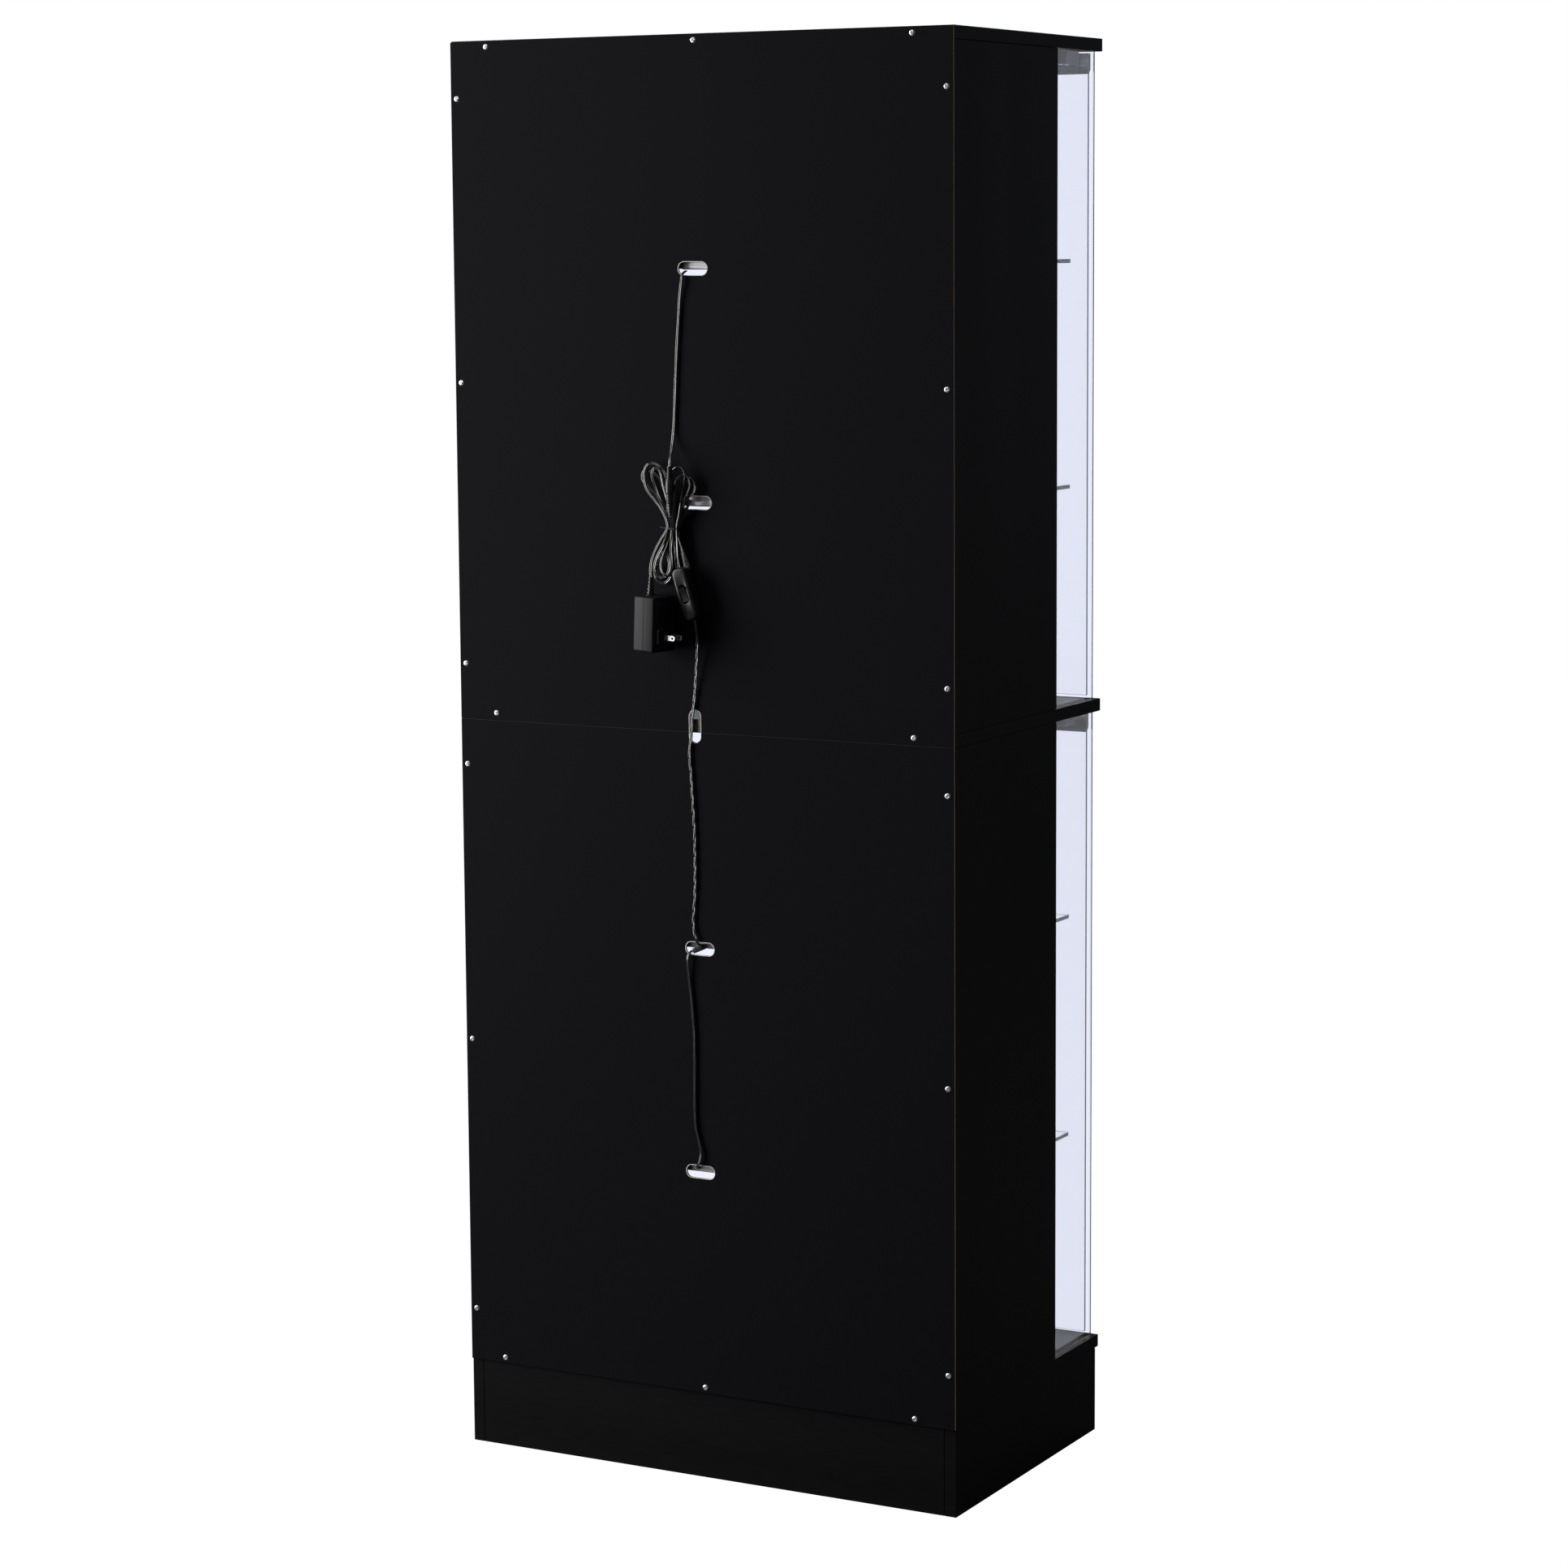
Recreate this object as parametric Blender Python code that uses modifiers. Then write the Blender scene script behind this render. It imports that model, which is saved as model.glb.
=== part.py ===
"""Tall glazed china cabinet: black boards, glass doors, panes and shelves, shelf lights and their leads.

Metres, +Z up. The front faces -Y and the back +Y. The origin is on the floor under the middle of the
cabinet, so left is -X for someone who stands in front of it.
"""

import math

import bmesh
import bpy
from mathutils import Euler, Matrix, Vector

# Carcass
WIDTH = 0.700
DEPTH = 0.425
HEIGHT = 1.800
BOARD = 0.016
GAP = 0.0003
EDGE = 0.0005
PLINTH_HEIGHT = 0.110
PLINTH_SETBACK = 0.009
BACK_SHEET = 0.0027
MIDDLE_TOP = 0.965
SIDE_PANEL_DEPTH = 0.2885
BACK_TOP_SETBACK = 0.0015

HALF_WIDTH = WIDTH / 2
FRONT = -DEPTH / 2
BACK = DEPTH / 2
BOARD_BACK = BACK - BACK_SHEET - GAP
PANEL_FRONT = BOARD_BACK - SIDE_PANEL_DEPTH
TOP_UNDERSIDE = HEIGHT - BOARD
MIDDLE_UNDERSIDE = MIDDLE_TOP - BOARD
BASE_TOP = PLINTH_HEIGHT + BOARD
# Each glazed section: its name, its floor and its ceiling
SECTIONS = (("upper", MIDDLE_TOP, TOP_UNDERSIDE), ("lower", BASE_TOP, MIDDLE_UNDERSIDE))
SIDES = (("left", -1), ("right", 1))

# Glass
GLASS = 0.005
GROOVE_DEPTH = 0.0055
GROOVE_CLEARANCE = 0.0004
PANE_INSET = 0.0075
PANE_FRONT = -0.2060
DOOR_HALF_WIDTH = 0.3305
DOOR_MIDDLE_Y = -0.2060
DOOR_TOP_GAP = 0.0035
DOOR_BOTTOM_GAP = 0.0035
SHELF_HALF_WIDTH = 0.3320
SHELF_FRONT = -0.150
SHELF_BACK = 0.2015
SHELF_TOPS = (1.5255, 1.2425, 0.6920, 0.4075)

# Glass clips, pivot hinges and latches of the doors
CLIP_LENGTH = 0.045
CLIP_HEIGHT = 0.025
CLIP_THICKNESS = 0.0096
CLIP_SLOT = 0.0062
CLIP_BRIDGE = 0.0013
CLIP_CORNER = 0.005
CLIP_PAST_EDGE = 0.0005
PIVOT_INSET = 0.014
PIVOT_RADIUS = 0.0025
PIVOT_LENGTH = 0.0065
BUSH_BORE = 0.00263
BUSH_RADIUS = 0.0040
BUSH_FLANGE = 0.0060
BUSH_FLANGE_THICKNESS = 0.0009
BUSH_DEPTH = 0.0062
LATCH_WIDTH = 0.024
LATCH_HEIGHT = 0.016
LATCH_LENGTH = 0.038
LATCH_LEFT = -0.3215
PLUNGER_RADIUS = 0.0045
PLUNGER_SHOWING = 0.0038
PLUNGER_LENGTH = 0.0300

# Cable slots in the back, as the X and Z of their middles: one by each shelf light, and an upright one that
# crosses the middle board
SLOT_LENGTH = 0.0405
SLOT_WIDTH = 0.0160
UPPER_SLOTS = ((0.0035, 1.5180), (0.0005, 1.2330))
LOWER_SLOTS = ((0.0020, 0.6785), (0.0040, 0.3950))
UPRIGHT_SLOT = (0.0060, 0.9568)

# Shelf lights: clips on the shelves' rear edges
LIGHT_LENGTH = 0.060
LIGHT_DEPTH = 0.015
LIGHT_ABOVE = 0.002
LIGHTS_BELOW = (0.003, 0.009, 0.009, 0.009)
LIGHT_BACK_WALL = 0.003

# Things on the leads behind the cabinet
LEAD_RADIUS = 0.0016
BUNDLE_NEAR = BACK + 0.0020
BUNDLE_FAR = BACK + 0.0125
TIE_Z = 1.2010
ADAPTER_CENTRE = Vector((0.0476, BACK + 0.0255, 1.0853))
ADAPTER_SIZE = Vector((0.0325, 0.0420, 0.0685))
ADAPTER_TURN = Euler((0, math.radians(-2.4), math.radians(-11)))
STRAIN_RELIEF_SPOT = (0.0055, 0.0020)
STRAIN_RELIEF = (0.022, 0.0027, 0.0046)
BLADE_SIZE = (0.018, 0.0015, 0.00635)
BLADE_SPACING = 0.0127
BLADE_DROP = 0.0150
PLUG_BASE = (0.005, 0.033, 0.021)
SWITCH_CENTRE = Vector((0.0078, BACK + 0.0125, 1.1220))
SWITCH_TILT = math.radians(17)
SWITCH_SIZE = (0.0203, 0.0190, 0.0660)
POCKET = (0.0100, 0.0070, 0.0240)
ROCKER_AXIS_DEPTH = 0.0022
ROCKER_REST = math.radians(-9)
ROCKER_WIDTH = 0.0084
ROCKER_ARM = 0.0090
RIB_DEPTH = 0.0008
# The low-voltage socket and the plug in it hang on one upright line. Each has a ribbed sleeve, given as its
# length and its two radii, and a body, given as its radius and length.
SOCKET_AXIS = (0.0275, BACK + 0.0190)
SOCKET_TOP = 1.2777
SOCKET_RELIEF = (0.0145, 0.0033, 0.0042)
SOCKET_BODY = (0.0055, 0.0185)
SOCKET_MOUTH = (0.0036, 0.0100)
SOCKET_PIN = (0.0010, 0.0015)
PLUG_RELIEF = (0.0150, 0.0022, 0.0034)
PLUG_BODY = (0.0046, 0.0122)
PLUG_BARREL = (0.0027, 0.0092)
PLUG_BORE = (0.00135, 0.0096)


def empty_scene():
    for thing in list(bpy.data.objects):
        bpy.data.objects.remove(thing)


def collection(name):
    made = bpy.data.collections.new(name)
    bpy.context.scene.collection.children.link(made)
    return made


empty_scene()
PARTS = collection("china_cabinet")
CUTTERS = collection("cutters")


def material(name, colour, roughness, metallic=0.0, alpha=1.0):
    made = bpy.data.materials.new(name)
    made.use_nodes = True
    shader = made.node_tree.nodes["Principled BSDF"]
    shader.inputs["Base Color"].default_value = (*colour, 1.0)
    shader.inputs["Roughness"].default_value = roughness
    shader.inputs["Metallic"].default_value = metallic
    shader.inputs["Alpha"].default_value = alpha
    return made


BLACK_BOARD = material("black_board", (0.012, 0.012, 0.014), 0.45)
BACK_BOARD = material("back_board", (0.016, 0.016, 0.020), 0.55)
CLEAR_GLASS = material("clear_glass", (0.85, 0.93, 0.90), 0.02, alpha=0.3)
CHROME = material("chrome", (0.75, 0.76, 0.78), 0.08, 1.0)
BLACK_PLASTIC = material("black_plastic", (0.020, 0.020, 0.022), 0.40)
WHITE_PLASTIC = material("white_plastic", (0.80, 0.80, 0.78), 0.35)
GREY_PLASTIC = material("grey_plastic", (0.35, 0.35, 0.35), 0.45)
ALUMINIUM = material("aluminium", (0.60, 0.61, 0.62), 0.30, 1.0)
NICKEL = material("nickel", (0.70, 0.69, 0.64), 0.20, 1.0)
LEAD_SHEATH = material("lead_sheath", (0.015, 0.015, 0.016), 0.30)


def add(name, data, finish, place=(0, 0, 0), group=None):
    """A new object; finish is its material, or None for a cutter."""
    made = bpy.data.objects.new(name, data)
    made.location = place
    (group or PARTS).objects.link(made)
    if finish:
        data.materials.append(finish)
    return made


def cuboid(name, low, high, finish, edge=0.0, along=None, corner=0.0, steps=4, only=None, group=None):
    """A box from low to high. Either all its edges are chamfered by edge, or those that run along an axis
    (0, 1 or 2) are rounded to a corner radius; only narrows that to edges whose middle it accepts."""
    low, high = Vector(low), Vector(high)
    shape = bmesh.new()
    bmesh.ops.create_cube(shape, size=1.0)
    bmesh.ops.scale(shape, vec=high - low, verts=shape.verts)
    if edge:
        bmesh.ops.bevel(shape, geom=shape.edges[:], offset=edge, segments=1, affect="EDGES")
    if along is not None:
        others = [axis for axis in range(3) if axis != along]
        chosen = []
        for line in shape.edges:
            start, end = (point.co for point in line.verts)
            parallel = all(abs(start[axis] - end[axis]) < 1e-6 for axis in others)
            if parallel and (only is None or only((start + end) / 2)):
                chosen.append(line)
        bmesh.ops.bevel(shape, geom=chosen, offset=corner, segments=steps, profile=0.5, affect="EDGES")
    mesh = bpy.data.meshes.new(name)
    shape.to_mesh(mesh)
    shape.free()
    return add(name, mesh, finish, (low + high) / 2, group)


def rod(name, start, end, radius, finish, sides=16, end_radius=None, group=None):
    """A cylinder, or a cone, from start to end."""
    start, end = Vector(start), Vector(end)
    shape = bmesh.new()
    bmesh.ops.create_cone(
        shape,
        cap_ends=True,
        segments=sides,
        radius1=radius,
        radius2=radius if end_radius is None else end_radius,
        depth=(end - start).length,
    )
    mesh = bpy.data.meshes.new(name)
    shape.to_mesh(mesh)
    shape.free()
    mesh.shade_smooth()
    mesh.set_sharp_from_angle(angle=math.radians(40))
    made = add(name, mesh, finish, (start + end) / 2, group)
    made.rotation_mode = "QUATERNION"
    made.rotation_quaternion = (end - start).to_track_quat("Z", "Y")
    return made


def turned(name, profile, place, finish, flipped=False, sides=16):
    """A turned piece: profile is (radius, height) from the top of the axis, down the outside."""
    mesh = bpy.data.meshes.new(name)
    links = [(i, i + 1) for i in range(len(profile) - 1)]
    mesh.from_pydata([(radius, 0, height) for radius, height in profile], links, [])
    made = add(name, mesh, finish, place)
    if flipped:
        made.rotation_euler = (math.pi, 0, 0)
    screw = made.modifiers.new("turn", "SCREW")
    screw.steps = screw.render_steps = sides
    screw.use_merge_vertices = True
    screw.merge_threshold = 0.00005
    screw.use_smooth_shade = False
    return made


def outline(name, points, thickness, place, finish, smooth=True, turn=True):
    """A flat shape in X and Z, smooth or straight between its points, with a thickness along Y."""
    curve = bpy.data.curves.new(name, "CURVE")
    curve.dimensions = "2D"
    curve.fill_mode = "BOTH"
    curve.extrude = thickness / 2
    curve.resolution_u = 4
    spline = curve.splines.new("BEZIER" if smooth else "POLY")
    spline.use_cyclic_u = True
    if smooth:
        spline.bezier_points.add(len(points) - 1)
        for knot, (x, z) in zip(spline.bezier_points, points):
            knot.co = (x, z, 0)
            knot.handle_left_type = knot.handle_right_type = "AUTO"
    else:
        spline.points.add(len(points) - 1)
        for knot, (x, z) in zip(spline.points, points):
            knot.co = (x, z, 0, 1)
    made = add(name, curve, finish, place)
    if turn:
        made.rotation_euler = (math.pi / 2, 0, 0)
    return made


def boolean(target, tool, operation="DIFFERENCE"):
    tool.hide_render = True
    tool.display_type = "WIRE"
    change = target.modifiers.new(tool.name, "BOOLEAN")
    change.operation = operation
    change.solver = "EXACT"
    change.object = tool


def smooth_route(knots, spacing):
    """Points about spacing apart on a Catmull-Rom curve through the knots."""
    knots = [Vector(knot) for knot in knots]
    ends = [2 * knots[0] - knots[1], *knots, 2 * knots[-1] - knots[-2]]
    fine = []
    for i in range(1, len(ends) - 2):
        before, start, end, after = ends[i - 1 : i + 3]
        for step in range(24):
            t = step / 24
            fine.append(
                0.5
                * (
                    2 * start
                    + (end - before) * t
                    + (2 * before - 5 * start + 4 * end - after) * t**2
                    + (3 * start - before - 3 * end + after) * t**3
                )
            )
    fine.append(knots[-1])
    lengths = [0.0]
    for previous, point in zip(fine, fine[1:]):
        lengths.append(lengths[-1] + (point - previous).length)
    count = max(2, round(lengths[-1] / spacing))
    made, k = [], 0
    for i in range(count + 1):
        goal = lengths[-1] * i / count
        while k < len(fine) - 2 and lengths[k + 1] < goal:
            k += 1
        share = (goal - lengths[k]) / max(lengths[k + 1] - lengths[k], 1e-9)
        made.append(fine[k].lerp(fine[k + 1], share))
    return made


def lead(name, knots):
    """A cord's tube through hand-placed knots, in metres."""
    points = smooth_route(knots, 5 * LEAD_RADIUS)
    curve = bpy.data.curves.new(name, "CURVE")
    curve.dimensions = "3D"
    curve.bevel_depth = LEAD_RADIUS
    curve.bevel_resolution = 2
    curve.use_fill_caps = True
    spline = curve.splines.new("POLY")
    spline.points.add(len(points) - 1)
    for knot, point in zip(spline.points, points):
        knot.co = (*point, 1)
    return add(name, curve, LEAD_SHEATH)


def frame_at(name, place, turn):
    """An empty that the pieces of one tilted or moving thing hang on."""
    frame = bpy.data.objects.new(name, None)
    PARTS.objects.link(frame)
    frame.location = place
    frame.rotation_euler = turn
    return frame


def board(name, x, y, z, finish=None):
    """A board between the two values of each axis, clear of its neighbours."""
    return cuboid(name, (x[0], y[0], z[0]), (x[1], y[1], z[1]), finish or BLACK_BOARD, edge=EDGE)


def pane_span(side):
    """The two X faces of a side pane."""
    outer = HALF_WIDTH - PANE_INSET
    return sorted((side * outer, side * (outer - GLASS)))


def horizontal_boards():
    """The top, middle and base boards, with a groove for each pane that stands on or hangs under them."""
    levels = (
        ("top_board", HEIGHT, (-1,)),
        ("middle_board", MIDDLE_TOP, (1, -1)),
        ("base_board", BASE_TOP, (1,)),
    )
    for name, top, faces in levels:
        slab = board(name, (-HALF_WIDTH, HALF_WIDTH), (FRONT, BOARD_BACK), (top - BOARD, top))
        for facing in faces:
            face = top if facing > 0 else top - BOARD
            inner = face - facing * GROOVE_DEPTH
            outer = face + facing * BOARD / 2
            for side_name, side in SIDES:
                low_x, high_x = pane_span(side)
                groove = cuboid(
                    f"{name}_groove_{side_name}_{'over' if facing > 0 else 'under'}",
                    (low_x - GROOVE_CLEARANCE, PANE_FRONT - 0.0015, min(inner, outer)),
                    (high_x + GROOVE_CLEARANCE, PANEL_FRONT + 0.012, max(inner, outer)),
                    None,
                    along=2,
                    corner=GLASS / 2,
                    group=CUTTERS,
                )
                boolean(slab, groove)
        sockets = [s for s in SECTIONS if (s[1] == top or s[2] == top - BOARD)]
        for section, floor, _ in sockets:
            over = floor == top
            face = floor if over else top - BOARD
            deep = face - (BUSH_DEPTH + 0.0006 if over else -BUSH_DEPTH - 0.0006)
            out = face + (0.004 if over else -0.004)
            socket = rod(
                f"{name}_{section}_bush_hole",
                (DOOR_HALF_WIDTH - PIVOT_INSET, DOOR_MIDDLE_Y, min(deep, out)),
                (DOOR_HALF_WIDTH - PIVOT_INSET, DOOR_MIDDLE_Y, max(deep, out)),
                BUSH_RADIUS + 0.0004,
                None,
                group=CUTTERS,
            )
            boolean(slab, socket)


def side_panels():
    """Four solid side panels behind the panes, each with a groove down its front edge."""
    for section, floor, ceiling in SECTIONS:
        for side_name, side in SIDES:
            faces = sorted((side * HALF_WIDTH, side * (HALF_WIDTH - BOARD)))
            panel = board(
                f"{section}_side_panel_{side_name}",
                faces,
                (PANEL_FRONT, BOARD_BACK),
                (floor + GAP, ceiling - GAP),
            )
            low_x, high_x = pane_span(side)
            groove = cuboid(
                f"{section}_panel_groove_{side_name}",
                (low_x - GROOVE_CLEARANCE, PANEL_FRONT - 0.01, floor - 0.01),
                (high_x + GROOVE_CLEARANCE, PANEL_FRONT + 0.007, ceiling + 0.01),
                None,
                group=CUTTERS,
            )
            boolean(panel, groove)


def side_glass():
    for section, floor, ceiling in SECTIONS:
        for side_name, side in SIDES:
            low_x, high_x = pane_span(side)
            cuboid(
                f"{section}_side_glass_{side_name}",
                (low_x, PANE_FRONT, floor - GROOVE_DEPTH + 0.0006),
                (high_x, PANEL_FRONT + 0.0062, ceiling + GROOVE_DEPTH - 0.0010),
                CLEAR_GLASS,
                edge=EDGE,
            )


def slot_cutter(name, x, z, upright=False):
    half = Vector((SLOT_LENGTH, 0.03, SLOT_WIDTH)) / 2
    if upright:
        half.x, half.z = half.z, half.x
    centre = Vector((x, BACK, z))
    return cuboid(
        name,
        centre - half,
        centre + half,
        None,
        along=1,
        corner=SLOT_WIDTH / 2 - 0.00002,
        steps=6,
        group=CUTTERS,
    )


def back_panels():
    """Two hardboard sheets that meet under the middle board, with slots for the shelf lights' leads."""
    seam = MIDDLE_UNDERSIDE
    reach = HALF_WIDTH - GAP
    spans = (
        ("upper_back_panel", seam + GAP, HEIGHT - BACK_TOP_SETBACK, UPPER_SLOTS),
        ("lower_back_panel", PLINTH_HEIGHT + GAP, seam, LOWER_SLOTS),
    )
    for name, low_z, high_z, slots in spans:
        sheet = board(name, (-reach, reach), (BACK - BACK_SHEET, BACK), (low_z, high_z), BACK_BOARD)
        for number, (x, z) in enumerate(slots, 1):
            boolean(sheet, slot_cutter(f"{name}_slot_{number}", x, z))
        boolean(sheet, slot_cutter(f"{name}_upright_slot", *UPRIGHT_SLOT, upright=True))


def plinth():
    """Side boards run front to back, and the front and back boards stand between them."""
    front = FRONT + PLINTH_SETBACK
    top = PLINTH_HEIGHT - GAP
    for side_name, side in SIDES:
        faces = sorted((side * HALF_WIDTH, side * (HALF_WIDTH - BOARD)))
        board(f"plinth_side_{side_name}", faces, (front, BOARD_BACK), (0, top))
    between = HALF_WIDTH - BOARD - GAP
    for name, low_y in (("plinth_front", front), ("plinth_back", BOARD_BACK - BOARD)):
        board(name, (-between, between), (low_y, low_y + BOARD), (0, top))


def shelves():
    for number, (top, below) in enumerate(zip(SHELF_TOPS, LIGHTS_BELOW), 1):
        cuboid(
            f"glass_shelf_{number}",
            (-SHELF_HALF_WIDTH, SHELF_FRONT, top - GLASS),
            (SHELF_HALF_WIDTH, SHELF_BACK, top),
            CLEAR_GLASS,
            edge=EDGE,
        )
        shelf_light(number, top, below)


def shelf_light(number, shelf_top, below):
    """A C-shaped light clip pushed onto the middle of a shelf's rear edge, reaching below under the glass."""
    back_face = SHELF_BACK + LIGHT_BACK_WALL
    clip = cuboid(
        f"shelf_light_{number}",
        (-LIGHT_LENGTH / 2, back_face - LIGHT_DEPTH, shelf_top - GLASS - below),
        (LIGHT_LENGTH / 2, back_face, shelf_top + LIGHT_ABOVE),
        ALUMINIUM,
        edge=EDGE,
    )
    mouth = cuboid(
        f"shelf_light_mouth_{number}",
        (-LIGHT_LENGTH, back_face - 2 * LIGHT_DEPTH, shelf_top - GLASS - GAP),
        (LIGHT_LENGTH, SHELF_BACK + GAP, shelf_top + GAP),
        None,
        group=CUTTERS,
    )
    boolean(clip, mouth)


def glass_clip(name, low_x, glass_edge, facing, pivot_x=None):
    """A chromed U over the top (facing 1) or bottom (facing -1) edge of a door, open at its two ends.
    A pivot hinge has a pin at pivot_x. Returns the objects that move with the door."""
    back_y = DOOR_MIDDLE_Y + CLIP_THICKNESS / 2
    front_y = DOOR_MIDDLE_Y - CLIP_THICKNESS / 2
    bridge = glass_edge + facing * (GAP + CLIP_BRIDGE)
    tail = bridge - facing * CLIP_HEIGHT
    clip = cuboid(
        name,
        (low_x, front_y, min(bridge, tail)),
        (low_x + CLIP_LENGTH, back_y, max(bridge, tail)),
        CHROME,
        along=1,
        corner=CLIP_CORNER,
        only=lambda middle: middle.z * facing < 0,
    )
    inner = glass_edge + facing * GAP
    end = tail - facing * 0.01
    throat = cuboid(
        f"{name}_throat",
        (low_x - 0.01, DOOR_MIDDLE_Y - CLIP_SLOT / 2, min(inner, end)),
        (low_x + CLIP_LENGTH + 0.01, DOOR_MIDDLE_Y + CLIP_SLOT / 2, max(inner, end)),
        None,
        group=CUTTERS,
    )
    boolean(clip, throat)
    if pivot_x is None:
        return [clip, throat]
    pin = rod(
        f"{name}_pin",
        (pivot_x, DOOR_MIDDLE_Y, bridge - facing * CLIP_BRIDGE / 2),
        (pivot_x, DOOR_MIDDLE_Y, bridge + facing * PIVOT_LENGTH),
        PIVOT_RADIUS,
        None,
        group=CUTTERS,
    )
    boolean(clip, pin, "UNION")
    return [clip, throat, pin]


def pivot_bush(name, face, facing):
    """The plastic cup in a board that a door's pivot pin turns in; facing is the way its mouth looks."""
    top = BUSH_DEPTH
    profile = (
        (0, top),
        (BUSH_RADIUS, top),
        (BUSH_RADIUS, -GAP),
        (BUSH_FLANGE, -GAP),
        (BUSH_FLANGE, -GAP - BUSH_FLANGE_THICKNESS),
        (BUSH_BORE, -GAP - BUSH_FLANGE_THICKNESS),
        (BUSH_BORE, top - 0.001),
        (0, top - 0.001),
    )
    place = (DOOR_HALF_WIDTH - PIVOT_INSET, DOOR_MIDDLE_Y, face)
    turned(name, profile, place, GREY_PLASTIC, flipped=facing > 0)


def doors():
    """A glass door for each section, pivoted near its right edge and latched at its left. A door's pieces
    hang on one empty on its pivot's axis."""
    pivot_x = DOOR_HALF_WIDTH - PIVOT_INSET
    hinge_x = DOOR_HALF_WIDTH - CLIP_LENGTH + CLIP_PAST_EDGE
    for section, floor, ceiling in SECTIONS:
        low_z = floor + DOOR_BOTTOM_GAP
        high_z = ceiling - DOOR_TOP_GAP
        door = [
            cuboid(
                f"{section}_door_glass",
                (-DOOR_HALF_WIDTH, DOOR_MIDDLE_Y - GLASS / 2, low_z),
                (DOOR_HALF_WIDTH, DOOR_MIDDLE_Y + GLASS / 2, high_z),
                CLEAR_GLASS,
                edge=EDGE,
            )
        ]
        door += glass_clip(f"{section}_door_top_hinge", hinge_x, high_z, 1, pivot_x)
        door += glass_clip(f"{section}_door_bottom_hinge", hinge_x, low_z, -1, pivot_x)
        door += glass_clip(f"{section}_door_strike_clip", -DOOR_HALF_WIDTH - CLIP_PAST_EDGE, high_z, 1)
        pivot = frame_at(f"{section}_door_pivot", (pivot_x, DOOR_MIDDLE_Y, (low_z + high_z) / 2), (0, 0, 0))
        for piece in door:
            piece.location -= pivot.location
            piece.parent = pivot
        pivot_bush(f"{section}_top_pivot_bush", ceiling, -1)
        pivot_bush(f"{section}_bottom_pivot_bush", floor, 1)
        touch_latch(section, ceiling)


def touch_latch(section, ceiling):
    """A magnetic push latch under the board over a door: a body, and a plunger that meets the strike clip."""
    clip_back = DOOR_MIDDLE_Y + CLIP_THICKNESS / 2
    tip = clip_back + GAP
    body_front = tip + PLUNGER_SHOWING
    centre_x = LATCH_LEFT + LATCH_WIDTH / 2
    centre_z = ceiling - GAP - LATCH_HEIGHT / 2
    body = cuboid(
        f"{section}_latch_body",
        (LATCH_LEFT, body_front, ceiling - GAP - LATCH_HEIGHT),
        (LATCH_LEFT + LATCH_WIDTH, body_front + LATCH_LENGTH, ceiling - GAP),
        BLACK_PLASTIC,
        edge=0.001,
    )
    bore = rod(
        f"{section}_latch_bore",
        (centre_x, body_front - 0.01, centre_z),
        (centre_x, body_front + LATCH_LENGTH - 0.004, centre_z),
        PLUNGER_RADIUS + 0.0005,
        None,
        group=CUTTERS,
    )
    boolean(body, bore)
    rod(
        f"{section}_latch_plunger",
        (centre_x, tip, centre_z),
        (centre_x, tip + PLUNGER_LENGTH, centre_z),
        PLUNGER_RADIUS,
        GREY_PLASTIC,
    )


def power_adapter():
    """A wall adapter that hangs from its lead, with two flat blades out of its broad face. Its pieces are
    built round its own centre, with the blades along -X, and hang on one empty."""
    frame = frame_at("power_adapter_frame", ADAPTER_CENTRE, ADAPTER_TURN)
    half = ADAPTER_SIZE / 2
    housing = cuboid("power_adapter", -half, half, BLACK_PLASTIC, along=2, corner=0.003)
    proud, base_width, base_height = PLUG_BASE
    base = cuboid(
        "adapter_plug_base",
        (-half.x - proud, -base_width / 2, -BLADE_DROP - base_height / 2),
        (-half.x + 0.002, base_width / 2, -BLADE_DROP + base_height / 2),
        None,
        along=0,
        corner=0.004,
        group=CUTTERS,
    )
    boolean(housing, base, "UNION")
    pieces = [housing, base]
    length, thickness, width = BLADE_SIZE
    root = -half.x - proud - GAP
    for name, y in (("front", BLADE_SPACING / 2), ("rear", -BLADE_SPACING / 2)):
        blade = cuboid(
            f"plug_blade_{name}",
            (root - length, y - thickness / 2, -BLADE_DROP - width / 2),
            (root, y + thickness / 2, -BLADE_DROP + width / 2),
            NICKEL,
            along=1,
            corner=0.0016,
            steps=2,
            only=lambda middle: middle.x < 0,
        )
        hole = rod(
            f"plug_blade_hole_{name}",
            (root - length + 0.004, y - 0.005, -BLADE_DROP),
            (root - length + 0.004, y + 0.005, -BLADE_DROP),
            0.0016,
            None,
            sides=12,
            group=CUTTERS,
        )
        boolean(blade, hole)
        pieces += [blade, hole]
    sleeve_length, tip_radius, base_radius = STRAIN_RELIEF
    relief = turned(
        "adapter_strain_relief",
        [(0, sleeve_length), *rib_profile(sleeve_length, sleeve_length, tip_radius, base_radius, 5), (0, 0)],
        (*STRAIN_RELIEF_SPOT, half.z + GAP),
        BLACK_PLASTIC,
        sides=12,
    )
    for piece in (*pieces, relief):
        piece.parent = frame


def rib_profile(top, length, tip_radius, base_radius, ribs):
    """The outside of a sleeve with square ribs, from its tip at top down to its base."""
    profile = []
    pitch = length / ribs
    for rib in range(ribs):
        high = top - rib * pitch
        radius = tip_radius + (base_radius - tip_radius) * (rib + 0.5) / ribs
        notch = high - 0.6 * pitch
        profile += [(radius, high), (radius, notch)]
        profile += [(radius - RIB_DEPTH, notch), (radius - RIB_DEPTH, high - pitch)]
    return profile


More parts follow.
